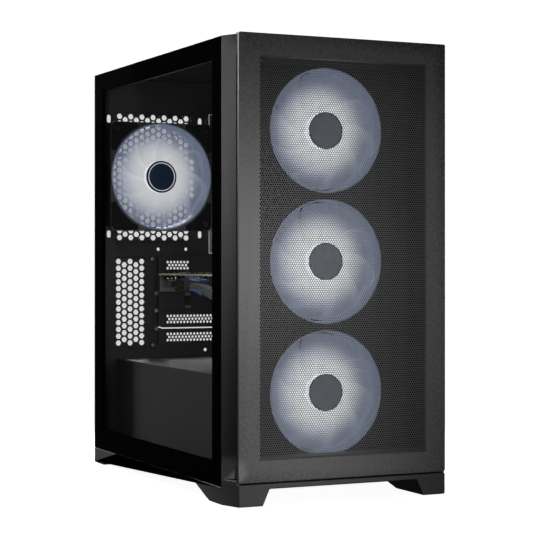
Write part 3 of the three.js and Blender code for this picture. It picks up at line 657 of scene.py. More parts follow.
def halo_light():
    """The clear diffuser on a fan's motor mount: white round the motor, fading outwards."""
    made = Finish("halo_light").constant(Roughness=0.4, Specular_IOR_Level=0.3, Emission_Strength=0.95)
    r = made.radius()
    tint = made.mixed(made.spread(r, 0.0, 1.0, HALO_RADIUS, 0.048), (0.97, 0.98, 1.0), (0.62, 0.70, 0.92))
    made.glow(tint).colour(made.mixed(made.noise(6.0, 2.0), grey(0.2), grey(0.3)))
    see_through(made, made.spread(r, 0.85, 0.0, 0.026, 0.0475, smooth=True), grey(1.0))


def lit_plastic(name, colour, glow, strength, roughness=0.35):
    """A glowing surface: plastic that carries some of the fan's light, and also a painted highlight on
    steel.
    """
    made = Finish(name).constant(Specular_IOR_Level=0.3, Emission_Strength=strength)
    cloud = made.noise(9.0, 2.0)
    made.colour(made.mixed(made.spread(cloud, 0.0, 1.0), colour, tuple(c * 1.4 for c in colour)))
    dim = tuple(c * 0.8 for c in glow)
    made.glow(made.mixed(made.spread(cloud, 0.0, 1.0), dim, glow))
    made.rough(made.spread(cloud, roughness - 0.05, roughness + 0.1))


def circuit_board(name, base, trace):
    """Solder mask over fine tracks, with small plated dots."""
    gold = (0.55, 0.42, 0.16)
    made = Finish(name).constant(Specular_IOR_Level=0.45)
    tracks = made.cells(9.0, "DISTANCE_TO_EDGE")
    lines = made.spread(tracks, 1.0, 0.0, 0.01, 0.06)
    vias = made.spread(made.cells(5.5), 1.0, 0.0, 0.05, 0.09)
    colour = made.mixed(lines, base, trace)
    colour = made.mixed(vias, colour, gold)
    made.colour(colour)
    made.rough(made.spread(made.noise(3.0, 2.0), 0.35, 0.5))
    made.bump(tracks, 0.1, 0.05)


def layered_edge():
    """The cut edge of a circuit board: cream glass fibre with darker layers, and a painted glow that
    stands for light caught on the edge.
    """
    made = Finish("board_edge_painted_glow").constant(Specular_IOR_Level=0.4, Emission_Strength=0.22)
    made.stretched(1.0, 1.0, 30.0)
    layers = made.noise(12.0, 3.0)
    made.colour(made.mixed(made.spread(layers, 0.0, 1.0), (0.58, 0.50, 0.30), (0.86, 0.83, 0.68)))
    made.glow(made.mixed(made.spread(layers, 0.0, 1.0), (0.75, 0.62, 0.32), (0.95, 0.9, 0.72)))
    made.rough(made.spread(layers, 0.45, 0.65))


def pale_floor():
    """Pale and matt beside the object, and as bright as the backdrop further out."""
    made = Finish("floor")
    near = made.spread(made.radius(), 0.0, 1.0, 0.20, 0.60, smooth=True)
    made.colour(made.mixed(made.noise(300.0, 1.0), grey(0.86), grey(0.90)))
    made.constant(Roughness=0.8, Specular_IOR_Level=0.2)
    made.constant(Emission_Color=(1, 1, 1, 1), Emission_Strength=0.95)
    made.blend(near, made.shader.outputs[0], made.white_light())


def white_backdrop():
    made = Finish("backdrop")
    made.link(made.white_light(), made.output.inputs["Surface"])


def make_materials():
    # edge_highlight is the colour of the painted highlight on convex edges
    textured_paint("plate_paint", 0.022, 0.112, 0.52, grain_mm=2.4, bump=0.5, edge_highlight=0.18, reach=0.09)
    textured_paint("mesh_paint", 0.125, 0.180, 0.50, bump=0.1)
    # the bezel's downward facets are much lighter than the rest: a painted highlight
    textured_paint("bezel_plastic", 0.042, 0.078, 0.55, grain_mm=1.8, bump=0.4, edge_highlight=0.16,
                   painted_underside_shading=0.28)
    # the base's downward faces are near black: painted shade
    textured_paint("base_plastic", 0.042, 0.080, 0.58, grain_mm=1.8, bump=0.4, edge_highlight=0.13, painted_underside_shading=0.004)
    # black paint, made darker still as painted shade on the bulkhead behind the front mesh
    textured_paint("bulkhead_paint_and_shade", 0.003, 0.006, 0.60, grain_mm=1.0, edge_highlight=0.03, specular=0.15)
    textured_paint("chassis_paint", 0.048, 0.072, 0.50, grain_mm=1.0, edge_highlight=0.10)
    textured_paint("panel_paint", 0.034, 0.050, 0.48, grain_mm=1.1, edge_highlight=0.06)
    textured_paint("top_paint", 0.022, 0.034, 0.55, grain_mm=1.1, specular=0.3)
    textured_paint("shroud_paint", 0.046, 0.066, 0.50, grain_mm=1.2, edge_highlight=0.13)
    textured_paint("fan_plastic", 0.004, 0.008, 0.60, grain_mm=1.6, edge_highlight=0.03, specular=0.2)
    textured_paint("tab_plastic", 0.110, 0.170, 0.55, grain_mm=1.6, edge_highlight=0.24)
    textured_paint("rubber", 0.010, 0.018, 0.85, grain_mm=1.0, specular=0.2)
    # near black: the painted shadow in the gap under the front plate
    textured_paint("gap_seal", 0.001, 0.002, 0.9, grain_mm=1.0, specular=0.1)
    textured_paint("filter_net", 0.012, 0.024, 0.7, grain_mm=0.9, specular=0.2)
    textured_paint("black_metal", 0.012, 0.020, 0.42, grain_mm=1.4, edge_highlight=0.08)
    window_glass()
    printed_glass()
    lit_blades()
    halo_light()
    lit_plastic("barrel_light", (0.05, 0.055, 0.07), (0.30, 0.36, 0.50), 0.58)
    lit_plastic("hub_ring_light", (0.6, 0.6, 0.62), (0.92, 0.95, 1.0), 0.80)
    # a faint glow on the rail's folded edge: a painted highlight
    lit_plastic("rail_edge_steel", (0.22, 0.22, 0.23), (0.9, 0.9, 0.95), 0.10, roughness=0.45)
    lit_plastic("hub_glow", (0.6, 0.6, 0.62), (0.92, 0.95, 1.0), 0.95)
    lit_plastic("hub_cap", (0.04, 0.05, 0.07), (0.70, 0.82, 1.0), 0.11, roughness=0.4)
    lit_plastic("hub_face", (0.002, 0.006, 0.014), (0.02, 0.09, 0.24), 0.12, roughness=0.3)
    plain_plastic("hub_rim", (0.002, 0.003, 0.007), (0.004, 0.006, 0.012), 0.35)
    circuit_board("board_mask", (0.008, 0.009, 0.010), (0.022, 0.024, 0.027))
    layered_edge()
    plain_plastic("chip", grey(0.010), grey(0.018), 0.4)
    plain_plastic("ceramic", (0.55, 0.50, 0.42), (0.75, 0.72, 0.66), 0.5)
    plain_plastic("port_plastic", grey(0.012), grey(0.020), 0.45)
    plain_plastic("connector_black", grey(0.015), grey(0.028), 0.5)
    plain_plastic("connector_grey", grey(0.10), grey(0.16), 0.5)
    plain_plastic("port_blue", (0.02, 0.09, 0.35), (0.03, 0.13, 0.45), 0.4)
    plain_plastic("clip_pale", grey(0.35), grey(0.5), 0.45)
    plain_plastic("blue_wire", (0.02, 0.13, 0.42), (0.04, 0.22, 0.62), 0.4)
    plain_plastic("white_wire", grey(0.55), grey(0.75), 0.45)
    plain_plastic("orange_wire", (0.65, 0.22, 0.08), (0.8, 0.35, 0.15), 0.45)
    metal("solder", grey(0.62), grey(0.82), 0.28)
    metal("gold_contact", (0.75, 0.52, 0.20), (0.95, 0.72, 0.34), 0.25)
    metal("zinc_steel", grey(0.42), grey(0.60), 0.38, stretch=(1, 1, 6), grain_mm=6.0)
    metal("screw_steel", grey(0.28), grey(0.45), 0.35)
    metal("aluminium", grey(0.55), grey(0.72), 0.36, stretch=(1, 1, 12), grain_mm=9.0)
    metal("drive_metal", grey(0.36), grey(0.48), 0.42, grain_mm=3.0)
    metal("button_metal", grey(0.10), grey(0.16), 0.35, grain_mm=2.0)
    braid("grey_braid", (0.10, 0.10, 0.105), (0.36, 0.36, 0.37))
    braid("black_braid", grey(0.006), grey(0.030))
    pale_floor()
    white_backdrop()


make_camera()
make_lights()
make_materials()
make_stage(MATERIALS)

# -------- base and front


def make_base():
    refined("base_frame", "base_plastic", "black_plastic", bevel=1.1, segments=3)
    # thin near-black sheets in the gap under the front plate: a painted shadow
    shadow_sheets = Shape()
    shadow_sheets.boxes(0, (-106, 106, -193.3, -190.8, 21.0, 21.3), (-106, 106, -190.95, -190.72, 21.0, 24.5))
    put("base_gap_painted_shadow", shadow_sheets, "gap_seal", "rubber_pad")
    for corner in ("front_left", "front_right", "rear_left", "rear_right"):
        refined(f"foot_pad_{corner}", "rubber", "rubber_pad", bevel=0.2)


def brick_cells(x0, z0, columns, rows, pitch, rise, hole, y0, y1):
    """A perforated field: hexagonal holes, one to a cell, every second row shifted by half a cell."""
    half = pitch / 2
    grid_w = 2 * columns + 1
    hexagon = np.array(ring_points(0.0, 0.0, hole / math.sqrt(3), 6, math.radians(30)))
    grid_x, grid_z = np.meshgrid(np.arange(grid_w) * half + x0, np.arange(rows + 1) * rise + z0)
    front = [np.column_stack([grid_x.ravel(), grid_z.ravel()])]
    rim, holes, fillers = [], [], []
    next_vertex = grid_w * (rows + 1)
    for row in range(rows):
        odd = row % 2
        for cell in range(columns - odd):
            left = 2 * cell + odd
            low, high = row * grid_w + left, (row + 1) * grid_w + left
            rim.append((high + 2, high + 1, high, low, low + 1, low + 2))
            centre = (x0 + (left + 1) * half, z0 + (row + 0.5) * rise)
            front.append(hexagon + centre)
            holes.append(tuple(range(next_vertex, next_vertex + 6)))
            next_vertex += 6
        if odd:
            for left in (0, grid_w - 2):
                low, high = row * grid_w + left, (row + 1) * grid_w + left
                fillers.append((low, low + 1, high + 1, high))
    flat = np.vstack(front)
    count = len(flat)
    verts = np.empty((2 * count, 3))
    verts[:, 0] = np.tile(flat[:, 0], 2)
    verts[:, 2] = np.tile(flat[:, 1], 2)
    verts[:count, 1] = y0
    verts[count:, 1] = y1
    rim, holes = np.array(rim), np.array(holes)
    faces = []
    for i in range(6):
        j = (i + 1) % 6
        faces.append(np.column_stack([rim[:, i], rim[:, j], holes[:, j], holes[:, i]]))
    front_faces = np.vstack([*faces, np.array(fillers)])
    walls = [np.column_stack([holes[:, i], holes[:, (i + 1) % 6],
                              holes[:, (i + 1) % 6] + count, holes[:, i] + count])
             for i in range(6)]
    return verts, np.vstack([front_faces, front_faces[:, ::-1] + count, *walls])


def put_cells(name, cells, material, slot, stands_for, body, swap=None):
    """Makes a piece of a perforated field. swap reorders the axes, as (0, 2, 1)."""
    verts, faces = cells
    if swap:
        verts = verts[:, swap]
        faces = faces[:, ::-1]
    mesh = bpy.data.meshes.new(name)
    mesh.from_pydata(verts * MM, [], faces)
    mesh.materials.append(MATERIALS[material])
    obj = bpy.data.objects.new(name, mesh)
    bpy.context.scene.collection.objects.link(obj)
    declare(obj, body, slot, stands_for)


def make_front():
    refined("front_bezel", "bezel_plastic", "black_plastic", bevel=0.5, segments=2)
    rim = sheet(rounded_rectangle(-107.85, 107.85, 22.6, 430.6, 1.6),
                [rectangle(-MESH_HALF_WIDTH, MESH_HALF_WIDTH, MESH_BOTTOM_Z, MESH_TOP_Z)],
                "y", FRONT_Y, FRONT_Y + 3)
    put("front_plate_frame", rim, "plate_paint", "painted_steel", ["front_plate"], body="front_plate",
        bevel=0.55, segments=3)
    columns = round(2 * MESH_HALF_WIDTH / MESH_PITCH)
    bands, rows = 4, 46
    rise = (MESH_TOP_Z - MESH_BOTTOM_Z) / (bands * rows)
    for band in range(bands):
        cells = brick_cells(-MESH_HALF_WIDTH, MESH_BOTTOM_Z + band * rows * rise, columns, rows,
                            MESH_PITCH, rise, MESH_HOLE, FRONT_Y + 0.15,
                            FRONT_Y + 0.15 + MESH_THICKNESS)
        put_cells(f"front_plate_mesh_{band + 1}", cells, "mesh_paint", "painted_steel",
                  ["front_plate"], "front_plate")


# -------- side panels

GLASS = {"x0": -115.15, "x1": -111.15, "y": (-170.5, -149.2, 160.5, 186.2),
         "z": (17.3, 38.8, 410.0, 429.4)}


def glass_slab():
    """A slab split into a clear window (material 0) and a printed border (material 1)."""
    shape = Shape()
    ys, zs = GLASS["y"], GLASS["z"]
    for x in (GLASS["x0"], GLASS["x1"]):
        for i in range(3):
            for j in range(3):
                face = ([(x, ys[i], zs[j]), (x, ys[i + 1], zs[j]),
                         (x, ys[i + 1], zs[j + 1]), (x, ys[i], zs[j + 1])], [(0, 1, 2, 3)])
                shape.add(face, 0 if i == j == 1 else 1)
    x0, x1 = GLASS["x0"], GLASS["x1"]
    for i in range(3):
        for z in (zs[0], zs[3]):
            shape.add(([(x0, ys[i], z), (x0, ys[i + 1], z), (x1, ys[i + 1], z), (x1, ys[i], z)],
                       [(0, 1, 2, 3)]), 1)
        for y in (ys[0], ys[3]):
            shape.add(([(x0, y, zs[i]), (x0, y, zs[i + 1]), (x1, y, zs[i + 1]), (x1, y, zs[i])],
                       [(0, 1, 2, 3)]), 1)
    return shape


def weld(obj):
    """Joins corners that lie on each other."""
    work = bmesh.new()
    work.from_mesh(obj.data)
    bmesh.ops.remove_doubles(work, verts=work.verts, dist=1e-6)
    bmesh.ops.recalc_face_normals(work, faces=work.faces)
    work.to_mesh(obj.data)
    work.free()


def cross_outline(arm, half):
    return [(arm, half), (half, half), (half, arm), (-half, arm), (-half, half), (-arm, half),
            (-arm, -half), (-half, -half), (-half, -arm), (half, -arm), (half, -half), (arm, -half)]


def shifted(points, a, b):
    return [(p + a, q + b) for p, q in points]


def thumbscrew(x, z):
    """A knurled head with a cross recess, on a threaded shank."""
    shape = Shape()
    knurl = []
    for i in range(72):
        radius = 5.95 if i % 2 else 5.6
        angle = 2 * math.pi * i / 72
        knurl.append((x + radius * math.cos(angle), z + radius * math.sin(angle)))
    shape.add(prism(knurl, "y", 188.5, 192.8))
    shape.add(lathe([(5.4, 187.55), (5.7, 188.5)], "y", x, z, 36))
    shape.add(sheet(ring_points(x, z, 5.3, 40), [shifted(cross_outline(2.6, 0.55), x, z)],
                    "y", 192.8, 194.0))
    shape.add(cylinder("y", x, z, 1.8, 186.6, 188.0, 16))
    return shape


def notched_lip():
    """The folded rear lip of the glass panel, notched beside the two slots of the rear panel."""
    outer, inner, notch = GLASS["x1"], -97.0, -101.8
    outline = [(outer, 30), (inner, 30)]
    for low, high in ((247, 262), (374.5, 389.5)):
        outline += [(inner, low), (notch, low), (notch, high), (inner, high)]
    outline += [(inner, 420), (outer, 420)]
    return sheet(outline, [], "y", 186.5, 187.5)


def make_side_panels():
    glass = detailed("glass_panel", glass_slab(), ["glass_window", "glass_print"], "tempered_glass",
                     body="glass_panel")
    weld(glass)
    bevelled(glass, 0.5, 2)
    flange = Shape().add(notched_lip())
    flange.add(box(-111.15, -110.15, 169, 186.9, 30, 420))
    detailed("glass_rear_flange", flange, "panel_paint", "painted_steel", body="glass_panel", bevel=0.2)
    refined("right_side_panel", "panel_paint", "painted_steel", body="steel_side_panel", bevel=0.35)
    sides = (("glass", -THUMBSCREW_X, "glass_panel"), ("side", THUMBSCREW_X, "steel_side_panel"))
    for side, x, body in sides:
        for place, z in THUMBSCREW_HEIGHTS.items():
            detailed(f"{side}_thumbscrew_{place}", thumbscrew(x, z), "black_metal", "black_plastic",
                     body=body)


# -------- fans

AXIS_Y = Matrix.Rotation(math.radians(-90), 4, "X")
AXIS_X = Matrix.Rotation(math.radians(90), 4, "Y")
AXIS_Z = Matrix.Identity(4)


def fan_place(x, y, z, turn):
    return Matrix.Translation((x * MM, y * MM, z * MM)) @ turn


def corner_pad(sx, sy, half, hole):
    """The pad in one corner of a fan, outside its round opening, with a screw hole."""
    inner = half - 0.5
    arc = [(math.cos(math.radians(t)) * (half + 1.4), math.sin(math.radians(t)) * (half + 1.4))
           for t in range(63, 26, -4)]
    outline = [(inner, inner * 0.49), (inner, inner - 4.5), (inner - 4.5, inner), (inner * 0.49, inner)]
    outline = [(sx * a, sy * b) for a, b in outline + arc]
    return outline, ring_points(sx * hole, sy * hole, 2.5, 12)


def rotated(part, angle):
    c, s = math.cos(angle), math.sin(angle)
    return moved(part, lambda x, y, z: (x * c - y * s, x * s + y * c, z))


def fan_frame(size, bore, depth, screws, hub, lit=False):
    """Two square flanges, a barrel with a pale liner, corner posts, struts and a lit diffuser."""
    shape = Shape()
    half = size / 2
    holes = [ring_points(0, 0, bore, 72)]
    corners = [(sx, sy) for sx in (-1, 1) for sy in (-1, 1)]
    holes += [ring_points(sx * screws / 2, sy * screws / 2, 2.2, 14) for sx, sy in corners]
    outline = rounded_rectangle(-half, half, -half, half, 5)
    lip = min(half - 0.4, bore + 1.7)
    front_holes = [ring_points(0, 0, lip, 72)] + holes[1:]
    shape.add(sheet(outline, front_holes, "z", 0, 4))
    shape.add(ring("z", 0, 0, bore, lip, 0.15, 4.0), 1)
    shape.add(sheet(outline, holes, "z", depth - 4, depth))
    wall = min(half - 0.3, bore + 1.8)
    shape.add(ring("z", 0, 0, bore + 0.25, wall, 0.2, depth - 0.2))
    shape.add(ring("z", 0, 0, bore - 0.1, bore + 0.2, 0.5, depth - 0.5), 1)
    if lit:
        near, far = depth - 3.4, depth - 3.15
        shape.add(lathe([(hub * 0.9, near), (bore - 9, near), (bore - 9, far), (hub * 0.9, far)],
                        "z", 0, 0, 72, closed=True), 3)
    for sx, sy in corners:
        a, b = sx * screws / 2, sy * screws / 2
        shape.add(ring("z", a, b, 2.2, 4.4, 3.9, depth - 3.9, 14))
        pad, hole = corner_pad(sx, sy, half, screws / 2)
        shape.add(sheet(pad, [hole], "z", -0.25, 0.3), 2)
        shape.add(sheet(pad, [hole], "z", depth - 0.3, depth + 0.2), 2)
    shape.add(lathe([(hub, depth - 3.2), (hub, depth - 0.8), (hub - 1.5, depth)], "z", 0, 0, 40))
    for i in range(4):
        path = []
        for s in range(7):
            r = hub - 1 + (bore + 1 - hub) * s / 6
            t = 0.35 * math.sin(math.pi * s / 6)
            path.append((r * math.cos(t), r * math.sin(t)))
        strut = [(a, b - 1.9) for a, b in path] + [(a, b + 1.9) for a, b in reversed(path)]
        shape.add(rotated(prism(strut, "z", depth - 3, depth - 0.4), i * math.pi / 2 + 0.3))
    return shape


BLADE_THICKNESS = 1.1


def fan_blade(hub, tip, low, high, span, sweep):
    """A curved blade: span is the angle that it covers, and sweep carries the tip round."""
    rows, columns = 9, 8
    top, bottom = [], []
    for i in range(rows):
        s = i / (rows - 1)
        r = hub - 0.8 + (tip - hub + 0.8) * s
        centre = sweep * s ** 1.3
        reach = span * (1.12 - 0.12 * s)
        for j in range(columns):
            t = j / (columns - 1)
            angle = centre + reach * (t - 0.5)
            drop = 0.5 - 0.5 * math.cos(math.pi * (0.15 + 0.7 * t))
            steepness = 0.25 + 0.45 * s
            height = (low + high) / 2 + (high - low) * (drop - 0.5) * steepness
            point = (r * math.cos(angle), r * math.sin(angle))
            edge = math.sin(math.pi * t) ** 0.5
            half = 0.5 * BLADE_THICKNESS * (0.25 + 0.75 * edge)
            top.append((*point, height + half))
            bottom.append((*point, height - half))
    verts = top + bottom
    count = len(top)
    faces = []
    for i in range(rows - 1):
        for j in range(columns - 1):
            a, b = i * columns + j, (i + 1) * columns + j
            faces.append((a, b, b + 1, a + 1))
            faces.append((a + count, a + 1 + count, b + 1 + count, b + count))
    rim = [*range(columns), *[i * columns + columns - 1 for i in range(1, rows)],
           *range(rows * columns - 2, (rows - 1) * columns - 1, -1),
           *[i * columns for i in range(rows - 2, 0, -1)]]
    for i, j in zip(rim, rim[1:] + rim[:1]):
        faces.append((i, j, j + count, i + count))
    return verts, faces


def fan_rotor(tip, hub, depth, blades, overlap=1.0, sweep=0.5, face_share=0.84):
    """Blades (0), hub face (1), ring (2), rim (3) and wall (4), about the rotor's own axis."""
    shape = Shape()
    shape.add(lathe([(hub - 0.5, 2.0), (hub - 0.5, depth - 0.2)], "z", 0, 0, 48), 4)
    face = hub * face_share
    shape.add(lathe([(face, 1.5), (face, 0.95), (face * 0.6, 0.75), (0.4, 0.7)], "z", 0, 0, 48), 1)
    shape.add(lathe([(face, 0.7), (face + 0.9, 0.7), (face + 0.9, 1.8), (face, 1.8)],
                    "z", 0, 0, 48, closed=True), 2)
    if face + 0.9 < hub - 0.4:
        shape.add(lathe([(face + 0.9, 0.65), (hub - 0.3, 0.65), (hub - 0.05, 1.0), (hub - 0.05, 2.6),
                         (face + 0.9, 2.6)], "z", 0, 0, 48, closed=True), 3)
    span = 2 * math.pi / blades * overlap
    for i in range(blades):
        blade = fan_blade(hub, tip, 3.0, depth - 2.0, span, sweep)
        shape.add(rotated(blade, 2 * math.pi * i / blades))
    return shape


FRAME_LOOKS = ["fan_plastic", "barrel_light", "rubber", "halo_light"]
ROTOR_LOOKS = ["blade_light", "hub_face", "hub_ring_light", "hub_rim", "hub_glow"]
FRONT_ROTOR_LOOKS = ["blade_light", "hub_cap", "hub_rim", "hub_rim", "hub_glow"]
REAR_FRAME_LOOKS = ["tab_plastic", "barrel_light", "rubber", "halo_light"]
DARK_FRAME_LOOKS = ["fan_plastic", "fan_plastic", "rubber"]
DARK_ROTOR_LOOKS = ["black_metal", "hub_rim", "screw_steel", "hub_rim", "hub_rim"]


def make_fan(frame_node, rotor_node, frame_body, rotor_body, spot, turn, sizes, looks):
    place = fan_place(*spot, turn)
    if frame_node:
        detailed(frame_node, fan_frame(*sizes["frame"]), looks[0], "fan_frame_plastic", body=frame_body,
                 smooth=True, place=place)
    detailed(rotor_node, fan_rotor(*sizes["rotor"]), looks[1], sizes["slot"], body=rotor_body,
             smooth=True, place=place)


CASE_FAN = {"frame": (120, FAN_BORE, 25, 105, FAN_HUB, True), "rotor": (56.0, FAN_HUB, 21.5, 9, 1.1),
            "slot": "lit_blade_plastic"}
FRONT_FAN = {**CASE_FAN, "rotor": (*CASE_FAN["rotor"], 0.5, 0.94)}
COOLER_FAN = {"frame": (92, 43.5, 25, 82.5, 15), "rotor": (42.0, 15.0, 21.0, 7, 0.86),
              "slot": "fan_frame_plastic"}
CARD_FAN = {"rotor": (34.8, 13.0, 10.0, 9, 0.8), "slot": "fan_frame_plastic"}
SUPPLY_FAN = {"rotor": (57.0, 18.0, 21.0, 7, 0.84), "slot": "fan_frame_plastic"}


def make_fans():
    dark = (DARK_FRAME_LOOKS, DARK_ROTOR_LOOKS)
    for place, z in FAN_CENTRES_Z.items():
        make_fan(f"front_fan_frame_{place}", f"front_fan_rotor_{place}", "chassis",
                 f"front_fan_rotor_{place}", (0, FRONT_FAN_Y, z), AXIS_Y, FRONT_FAN,
                 (FRAME_LOOKS, FRONT_ROTOR_LOOKS))
    make_fan("rear_fan_frame", "rear_fan_rotor", "chassis", "rear_fan_rotor", REAR_FAN, AXIS_Y,
             CASE_FAN, (REAR_FRAME_LOOKS, ROTOR_LOOKS))
    make_fan("cpu_fan_frame", "cpu_fan_rotor", "chassis", "cpu_fan_rotor", (7, 80, 337), AXIS_X,
             COOLER_FAN, dark)
    make_fan(None, "gpu_fan_rotor", None, "gpu_fan_rotor", (*CARD_FAN_CENTRE, 191), AXIS_Z, CARD_FAN, dark)
    make_fan(None, "psu_fan_rotor", None, "psu_fan_rotor", (*SUPPLY_FAN_CENTRE, 29.5), AXIS_Z,
             SUPPLY_FAN, dark)


# -------- rear panel and slot covers

EMBOSS_DEPTH = 1.5
FAN_VENT = {"x": (-90.7, 0.6), "z": (244.0, 391.5), "bulge": (-97.4, 7.2), "bulge_z": (289.0, 349.0)}
SIDE_VENT = {"x": (-92.9, -54.5), "z": (125.0, 228.7)}


def fan_vent_outline(inset):
    (x0, x1), (z0, z1) = FAN_VENT["x"], FAN_VENT["z"]
    (b0, b1), (w0, w1) = FAN_VENT["bulge"], FAN_VENT["bulge_z"]
    x0, z0, b0, w0 = x0 + inset, z0 + inset, b0 + inset, w0 + inset
    x1, z1, b1, w1 = x1 - inset, z1 - inset, b1 - inset, w1 - inset
    return [(x0, z0 + 3), (x0 + 3, z0), (x1 - 3, z0), (x1, z0 + 3), (x1, w0 - 4), (b1, w0), (b1, w1),
            (x1, w1 + 4), (x1, z1 - 3), (x1 - 3, z1), (x0 + 3, z1), (x0, z1 - 3), (x0, w1 + 4),
            (b0, w1), (b0, w0), (x0, w0 - 4)]


def inside(x, z, outline):
    hit = False
    for (x0, z0), (x1, z1) in zip(outline, outline[1:] + outline[:1]):
        if (z0 > z) != (z1 > z) and x < (x1 - x0) * (z - z0) / (z1 - z0) + x0:
            hit = not hit
    return hit


def stadium(x, z0, z1, width):
    radius = width / 2
    points = []
    for centre, start in ((z1 - radius, 0), (z0 + radius, 180)):
        for i in range(7):
            t = math.radians(start + 30 * i)
            points.append((x + radius * math.cos(t), centre + radius * math.sin(t)))
    return points


def rear_panel_holes():
    holes = [rectangle(22, 66.5, 232.5, 391.3), rounded_rectangle(-71, 69, 31, 109, 6)]
    holes += [rectangle(-37, 59, z - 6.8, z + 6.8)
              for z in [*SLOT_HEIGHTS.values(), CARD_SLOT_Z]]
    middle_x, middle_z = REAR_FAN[0], REAR_FAN[2]
    for column in range(-6, 7):
        shift = 3.77 if column % 2 else 0.0
        for row in range(-9, 10):
            z = middle_z + 0.3 + row * 7.53 + shift
            if z < 386.2:
                holes.append(ring_points(middle_x - 0.2 + column * 6.67, z, 3.3, 6))
    for column in (-7, 7):
        for row in range(-3, 4):
            z = middle_z + 0.3 + row * 7.53 + 3.77
            if abs(z - middle_z) < 26:
                holes.append(ring_points(middle_x - 0.2 + column * 6.67, z, 3.3, 6))
    for column in range(5):
        rows = 12 if column % 2 else 13
        for row in range(rows):
            z = 132.0 + row * 7.6 + (3.8 if column % 2 else 0.0)
            holes.append(ring_points(-86.7 + column * 6.9, z, 3.3, 6))
    for x in (-98.6, 10.8):
        holes.append(stadium(x, 249.6, 258.0, 4.6))
        holes.append(stadium(x, 377.6, 386.6, 4.6))
        for z in (264.9, 369.9):
            holes.append(ring_points(-45.15 + (52.5 if x > -45 else -52.5), z, 2.1, 12))
    for x, z in ((-39.8, 237.0), (-6.2, 237.1), (17.6, 122.5)):
        holes.append(ring_points(x, z, 1.9, 12))
    holes.append([(-40.6, 149.9), (-38.4, 149.9), (-34.8, 148.5), (58, 148.5), (58, 147.2),
                  (-35.2, 147.2), (-38.8, 148.6), (-40.6, 148.6)])
    return holes


def make_rear_panel():
    marks = [fan_vent_outline(0.0), fan_vent_outline(1.6)]
    (x0, x1), (z0, z1) = SIDE_VENT["x"], SIDE_VENT["z"]
    marks += [rounded_rectangle(x0, x1, z0, z1, 3), rounded_rectangle(x0 + 1.4, x1 - 1.4, z0 + 1.4,
                                                                      z1 - 1.4, 2)]
    inner_fan = fan_vent_outline(1.55)

    def lift(x, z):
        in_side = x0 + 1.35 < x < x1 - 1.35 and z0 + 1.35 < z < z1 - 1.35
        return EMBOSS_DEPTH if in_side or inside(x, z, inner_fan) else 0.0

    panel = sheet(rectangle(-109.6, 113.6, 24, 428.1), rear_panel_holes(), "y", REAR_INNER_Y,
                  REAR_OUTER_Y, marks, lift)
    detailed("rear_panel", panel, "chassis_paint", "painted_steel", smooth=True)
    for i, (x, z) in enumerate([(-48.4, 226.1), (-43.5, 187.4), (-43.5, 167.8), (-43.5, 147.1),
                                (-47.5, 128.7)]):
        put(f"slot_screw_{i + 1}", pan_screw(x, z, 183.4, 2.9), "screw_steel", "bare_steel", smooth=True)


def pan_screw(x, z, y, radius):
    """A pan-head screw seen from inside, facing -Y, with a cross recess."""
    shape = Shape()
    shape.add(lathe([(radius * 0.55, y - 1.5), (radius * 0.85, y - 1.2), (radius, y - 0.6),
                     (radius, y)], "y", x, z, 20))
    shape.add(sheet(ring_points(x, z, radius * 0.62, 20),
                    [shifted(cross_outline(radius * 0.42, radius * 0.1), x, z)],
                    "y", y - 1.9, y - 1.4))
    return shape


def cover_holes(z, last_x):
    holes = []
    for row, (count_shift, dz) in enumerate(((0, 3.5), (2.02, 0), (0, -3.5))):
        x = -28.9 + count_shift
        while x <= last_x - count_shift + 0.1:
            holes.append(ring_points(x, z + dz, 1.52, 10, 0.3 * row))
            x += 4.05
    return holes


def make_slot_covers():
    for slot, z in SLOT_HEIGHTS.items():
        last = {1: -0.8, 3: None, 4: 52.0, 5: 52.0}[slot]
        holes = cover_holes(z, last) if last is not None else []
        outline = [(62, z - 9.2), (62, z + 9.2), (-41.2, z + 9.2), (-41.2, z + 5), (-40.4, z + 4.4),
                   (-40.4, z - 4.4), (-41.2, z - 5), (-41.2, z - 9.2)]
        if slot == 4:
            outline = [(62, z - 9.2), (62, z + 9.2), (-41.2, z + 9.2), (-41.2, z - 7.9),
                       (-38.6, z - 7.9), (-35.0, z - 9.2)]
        detailed(f"slot_cover_{slot}", sheet(outline, holes, "y", 183.7, 184.9), "chassis_paint",
                 "painted_steel")
        edge = Shape().add(box(-41.6, -40.4, 181.4, 184.9, z - 8.6, z + 8.6))
        put(f"slot_cover_{slot}_fold", edge, "panel_paint", "painted_steel", bevel=0.3)
    clip = Shape()
    clip.add(box(-9.5, -1.2, 182.2, 183.6, 170.2, 188.2))
    clip.boxes(1, (-8.6, -2.2, 181.2, 182.3, 184.4, 187.9), (-8.6, -2.2, 181.2, 182.3, 170.4, 173.4))
    clip.add(box(-7.0, -3.6, 181.6, 182.4, 174.6, 183.2))
    put("slot_cover_clip", clip, ["chip", "clip_pale"], "black_plastic", bevel=0.25)


# -------- chassis sheets


def make_chassis():
    refined("chassis_floor", "chassis_paint", "painted_steel", bevel=0.2)
    refined("motherboard_tray", "chassis_paint", "painted_steel", bevel=0.2)
    refined("front_bulkhead", "bulkhead_paint_and_shade", "painted_steel", bevel=0.2)
    refined("top_panel", "top_paint", "painted_steel", bevel=0.25)
    refined("psu_shroud", "shroud_paint", "painted_steel", bevel=0.45, segments=3)
    refined("drive_cage", "chassis_paint", "painted_steel", bevel=0.3)
    make_rear_panel()
    make_slot_covers()
    put("rear_seam_lip", box(-108, 108, 184.0, 185.1, 426.5, 428.35), "top_paint", "painted_steel")
    put("upper_rail_edge", rail_edge(), "rail_edge_steel", "painted_steel", bevel=0.12)
    for i, y in enumerate((-150, -90, 30, 140)):
        put(f"rail_screw_{i + 1}", rail_screw(y, 419.5), "screw_steel", "bare_steel", smooth=True)


